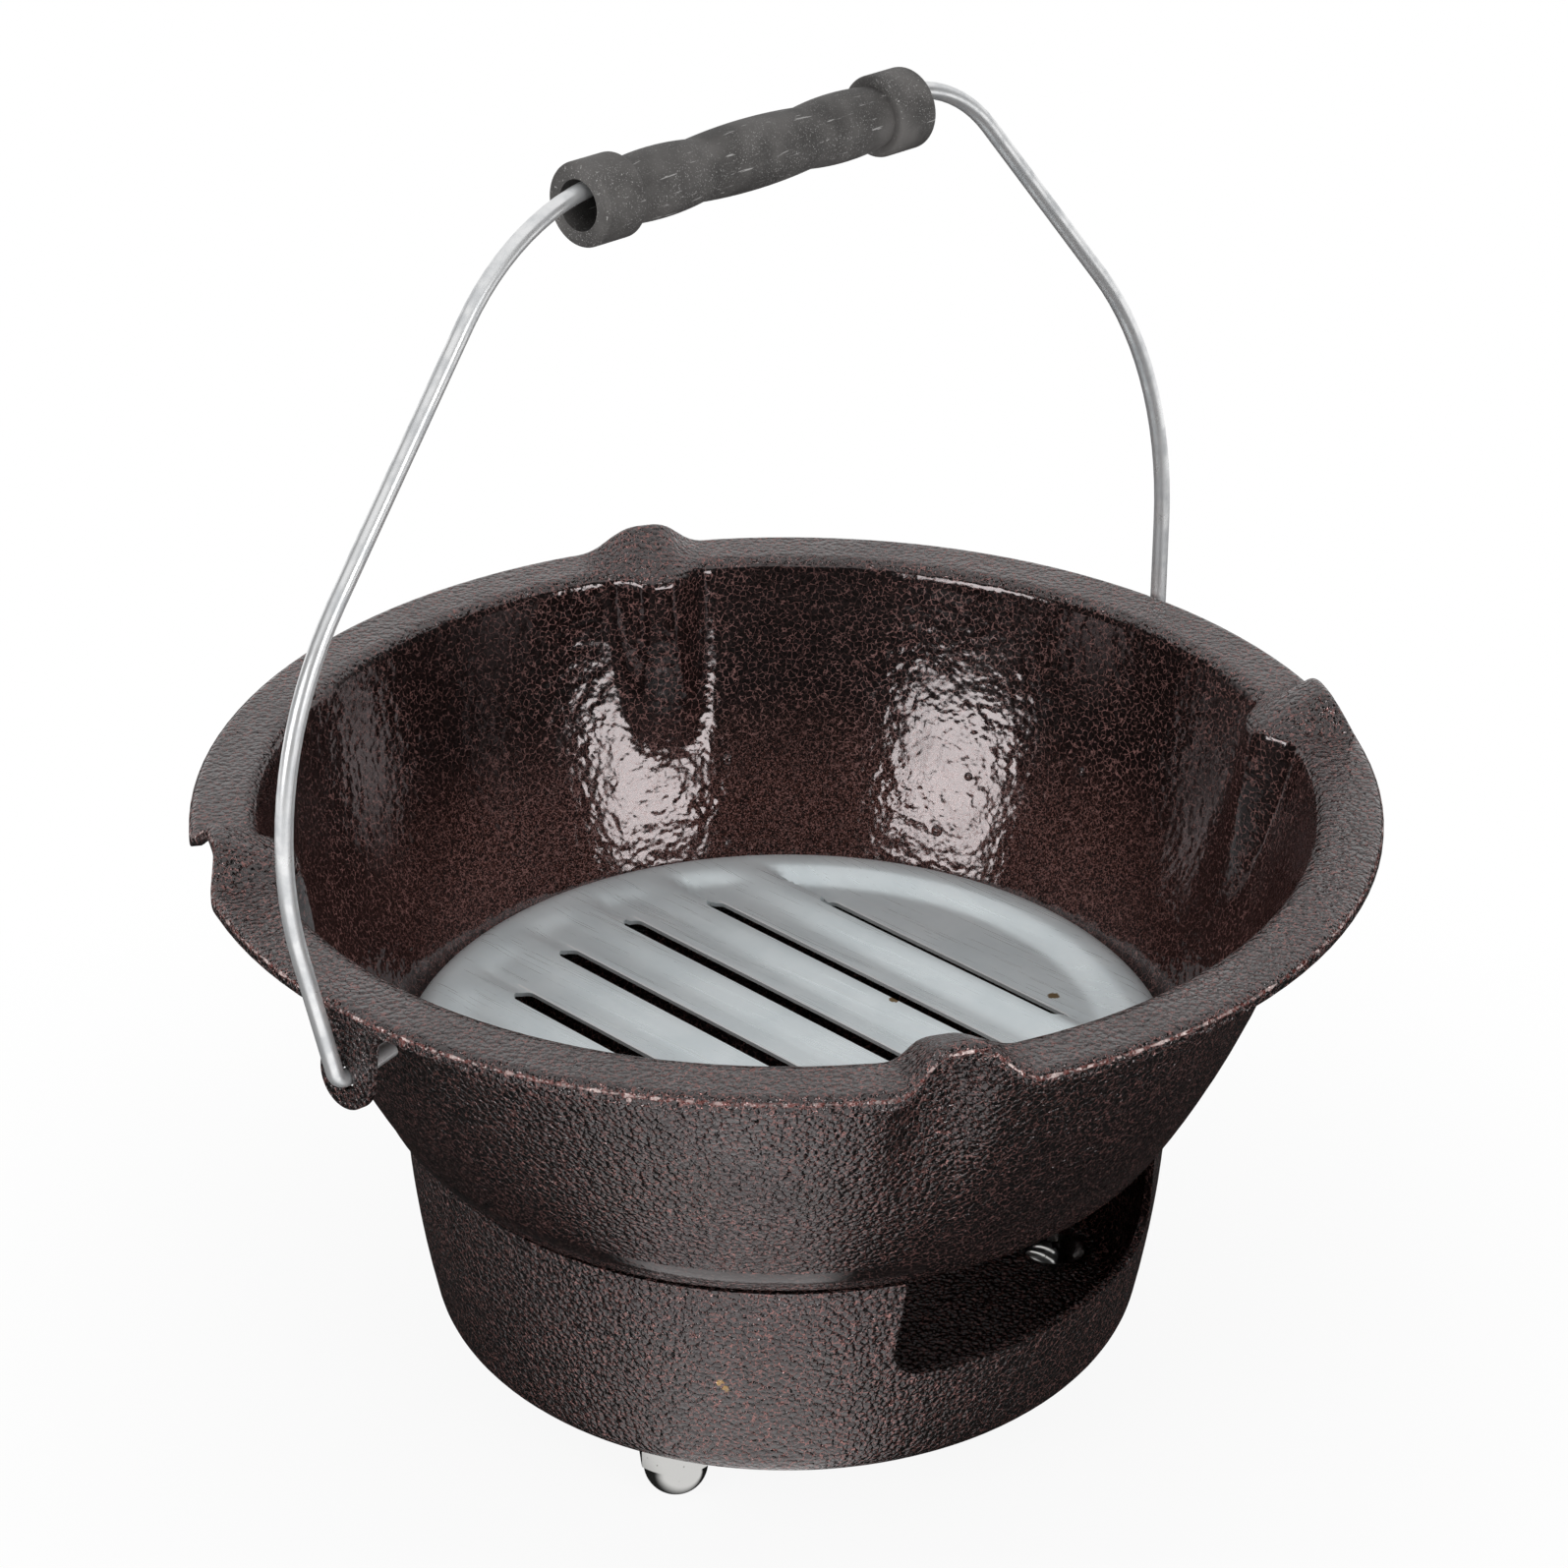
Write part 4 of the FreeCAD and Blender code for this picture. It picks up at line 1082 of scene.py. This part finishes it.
@dataclass
class DrumLip:
    """The drum's smooth upper lip, rolled against the bowl and open over the vent."""

    finish: Material
    profile: tuple[Pair, ...] = (
        (0.10025, 0.08780), (0.10045, 0.08755), (0.10010, 0.08660), (0.09965, 0.08560),
        (0.09915, 0.08460), (0.09865, 0.08375), (0.09800, 0.08300), (0.09710, 0.08225),
        (0.09660, 0.08180), (0.09700, 0.08230), (0.09860, 0.08490),
    )
    drum_turn: float = -3.0
    vent_half_width: float = 0.0425
    steps: int = 120
    merge_reach: float = 0.00001
    crease: float = 50.0

    def outline(self) -> Piece:
        """Draws the lip's closed section at the front of the stove.

        Returns:
            The section.
        """
        lip = drawn_line(self.profile)
        bpy.ops.mesh.edge_face_add()
        switch("OBJECT")
        return lip

    def build(self) -> None:
        """Spins the section from one side of the vent round to the other."""
        half = math.asin(self.vent_half_width / self.profile[-1][0])
        lip = self.outline()
        lip.rotation_euler.z = math.radians(self.drum_turn) + half
        bpy.ops.object.transform_apply(location=False, rotation=True, scale=False)
        switch("EDIT")
        pick("SELECT")
        bpy.ops.mesh.spin(
            steps=self.steps, angle=2 * math.pi - 2 * half, center=(0.0, 0.0, 0.0), axis=(0.0, 0.0, -1.0)
        )
        pick("SELECT")
        bpy.ops.mesh.remove_doubles(threshold=self.merge_reach)
        pick("DESELECT")
        bpy.ops.mesh.select_non_manifold()
        bpy.ops.mesh.edge_face_add()
        face_out()
        finish_piece(lip, "drum_lip", self.finish, self.crease)
        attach(lip, Body.STOVE.value)
        log.info("drum_lip: %d faces", len(lip.data.polygons))


@dataclass
class LouvredGrate:
    """The grate as it is really pressed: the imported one's size, with soft steps for its sharp creases."""

    finish: Material
    top: float
    turn: float = GalvanisedSheet.slot_turn
    side: float = 0.0945
    shoulder: float = 0.007
    depth: float = 0.0078
    gauge: float = 0.001
    slot_pitch: float = GalvanisedSheet.slot_pitch
    slot_half: float = GalvanisedSheet.slot_half
    slot_circle: float = 0.069
    pocket_reach: Pair = (0.0860, 0.0765)
    step_run: float = 0.001
    step_flat: float = 0.008
    ramp_end: float = 0.019
    sinks: tuple[float, ...] = (0.0009, 0.0009, 0.0010, 0.0013, 0.0020, 0.0030)
    ring_gap: float = 0.00125
    bend_steps: int = 8
    spokes: int = 288
    punch_sides: int = 32
    punch_overrun: float = 4.0
    merge_reach: float = 0.00002
    crease: float = 35.0

    def sink(self, across: float, reach: float) -> float:
        """How deep the sheet is pressed at a place.

        Args:
            across: the place across the slots, in metres.
            reach: its distance from the grate's middle, in metres.

        Returns:
            The depth in metres.
        """
        first = -(len(self.sinks) - 1) / 2 * self.slot_pitch
        number = min(math.floor((across + self.step_run - first) / self.slot_pitch), len(self.sinks) - 1)
        if number < 0:
            return 0.0
        past = across - first - number * self.slot_pitch
        fall = eased((past + self.step_run) / (2 * self.step_run))
        ramp = eased((past - self.step_flat) / (self.ramp_end - self.step_flat))
        if number == len(self.sinks) - 1:
            ramp = 0.0
        outer, inner = self.pocket_reach
        wall = eased((outer - reach) / (outer - inner))
        return self.sinks[number] * fall * (1.0 - ramp) * wall

    def blank(self) -> Piece:
        """Spins the grate's upper face as a fine net of rings and spokes.

        Returns:
            The face, still flat.
        """
        flat = self.side - self.shoulder
        rings = round(flat / self.ring_gap)
        points = [(flat * number / rings, 0.0) for number in range(rings + 1)]
        for number in range(1, self.bend_steps + 1):
            angle = math.pi / 2 * number / self.bend_steps
            points.append((flat + self.shoulder * math.sin(angle), self.shoulder * (math.cos(angle) - 1.0)))
        points.append((self.side, -self.depth))
        blank = drawn_line(points)
        bpy.ops.mesh.spin(steps=self.spokes, angle=2 * math.pi, center=(0.0, 0.0, 0.0), axis=(0.0, 0.0, 1.0))
        pick("SELECT")
        bpy.ops.mesh.remove_doubles(threshold=self.merge_reach)
        face_out()
        return blank

    def punches(self) -> Piece:
        """Models the slots' punches: cylinders whose halves are pulled apart along the slots.

        Returns:
            The punches as one object.
        """
        made = []
        for number in range(len(self.sinks)):
            place = (number - (len(self.sinks) - 1) / 2) * self.slot_pitch
            end = math.sqrt(self.slot_circle**2 - place**2) - self.slot_half
            clear_selection()
            bpy.ops.mesh.primitive_cylinder_add(
                vertices=self.punch_sides, radius=self.slot_half, depth=self.punch_overrun * self.depth
            )
            punch = bpy.context.object
            for side in (-1.0, 1.0):
                switch("EDIT")
                pick("DESELECT")
                switch("OBJECT")
                for point in punch.data.vertices:
                    point.select = side * point.co.y > self.merge_reach
                switch("EDIT")
                bpy.ops.transform.translate(value=(0.0, side * end, 0.0))
                switch("OBJECT")
            punch.location.x = place
            made.append(punch)
        return joined(made)

    def build(self) -> None:
        """Presses the blank, gives it its gauge and punches its slots."""
        sheet = self.blank()
        for point in sheet.data.vertices:
            point.co.z -= self.sink(point.co.x, math.hypot(point.co.x, point.co.y))
        punches = self.punches()
        clear_selection()
        bpy.context.view_layer.objects.active = sheet
        sheet.select_set(True)
        gauge = sheet.modifiers.new("gauge", "SOLIDIFY")
        gauge.thickness, gauge.offset, gauge.use_even_offset = self.gauge, -1.0, True
        slots = sheet.modifiers.new("slots", "BOOLEAN")
        slots.operation, slots.solver, slots.object = "DIFFERENCE", "EXACT", punches
        for modifier in (gauge, slots):
            bpy.ops.object.modifier_apply(modifier=modifier.name)
        bpy.data.objects.remove(punches)
        switch("EDIT")
        face_out()
        sheet.rotation_euler.z = math.radians(self.turn)
        sheet.location.z = self.top
        finish_piece(sheet, "louvred_sheet", self.finish, self.crease)
        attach(sheet, Body.GRATE.value)
        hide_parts("charcoal_grate")
        log.info("louvred_sheet: %d faces", len(sheet.data.polygons))


def main() -> None:
    """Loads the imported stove, dresses it and sets the studio up."""
    logging.basicConfig(level=logging.INFO, format="%(name)s: %(message)s")
    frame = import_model()
    Studio().build()
    finishes = Stove(frame).dress()
    LouvredGrate(finishes[Slot.GALVANISED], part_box("charcoal_grate")[1].z).build()
    CoatBeads(finishes[Slot.COAT]).build()
    pooled = HammeredCoat(name="pooled_coat", pebble_depth=0.00006, swell_depth=0.00012, vein_share=0.25)
    DrumLip(pooled.make()).build()
    bpy.context.scene.view_settings.view_transform = "Standard"


if __name__ == "__main__":
    main()
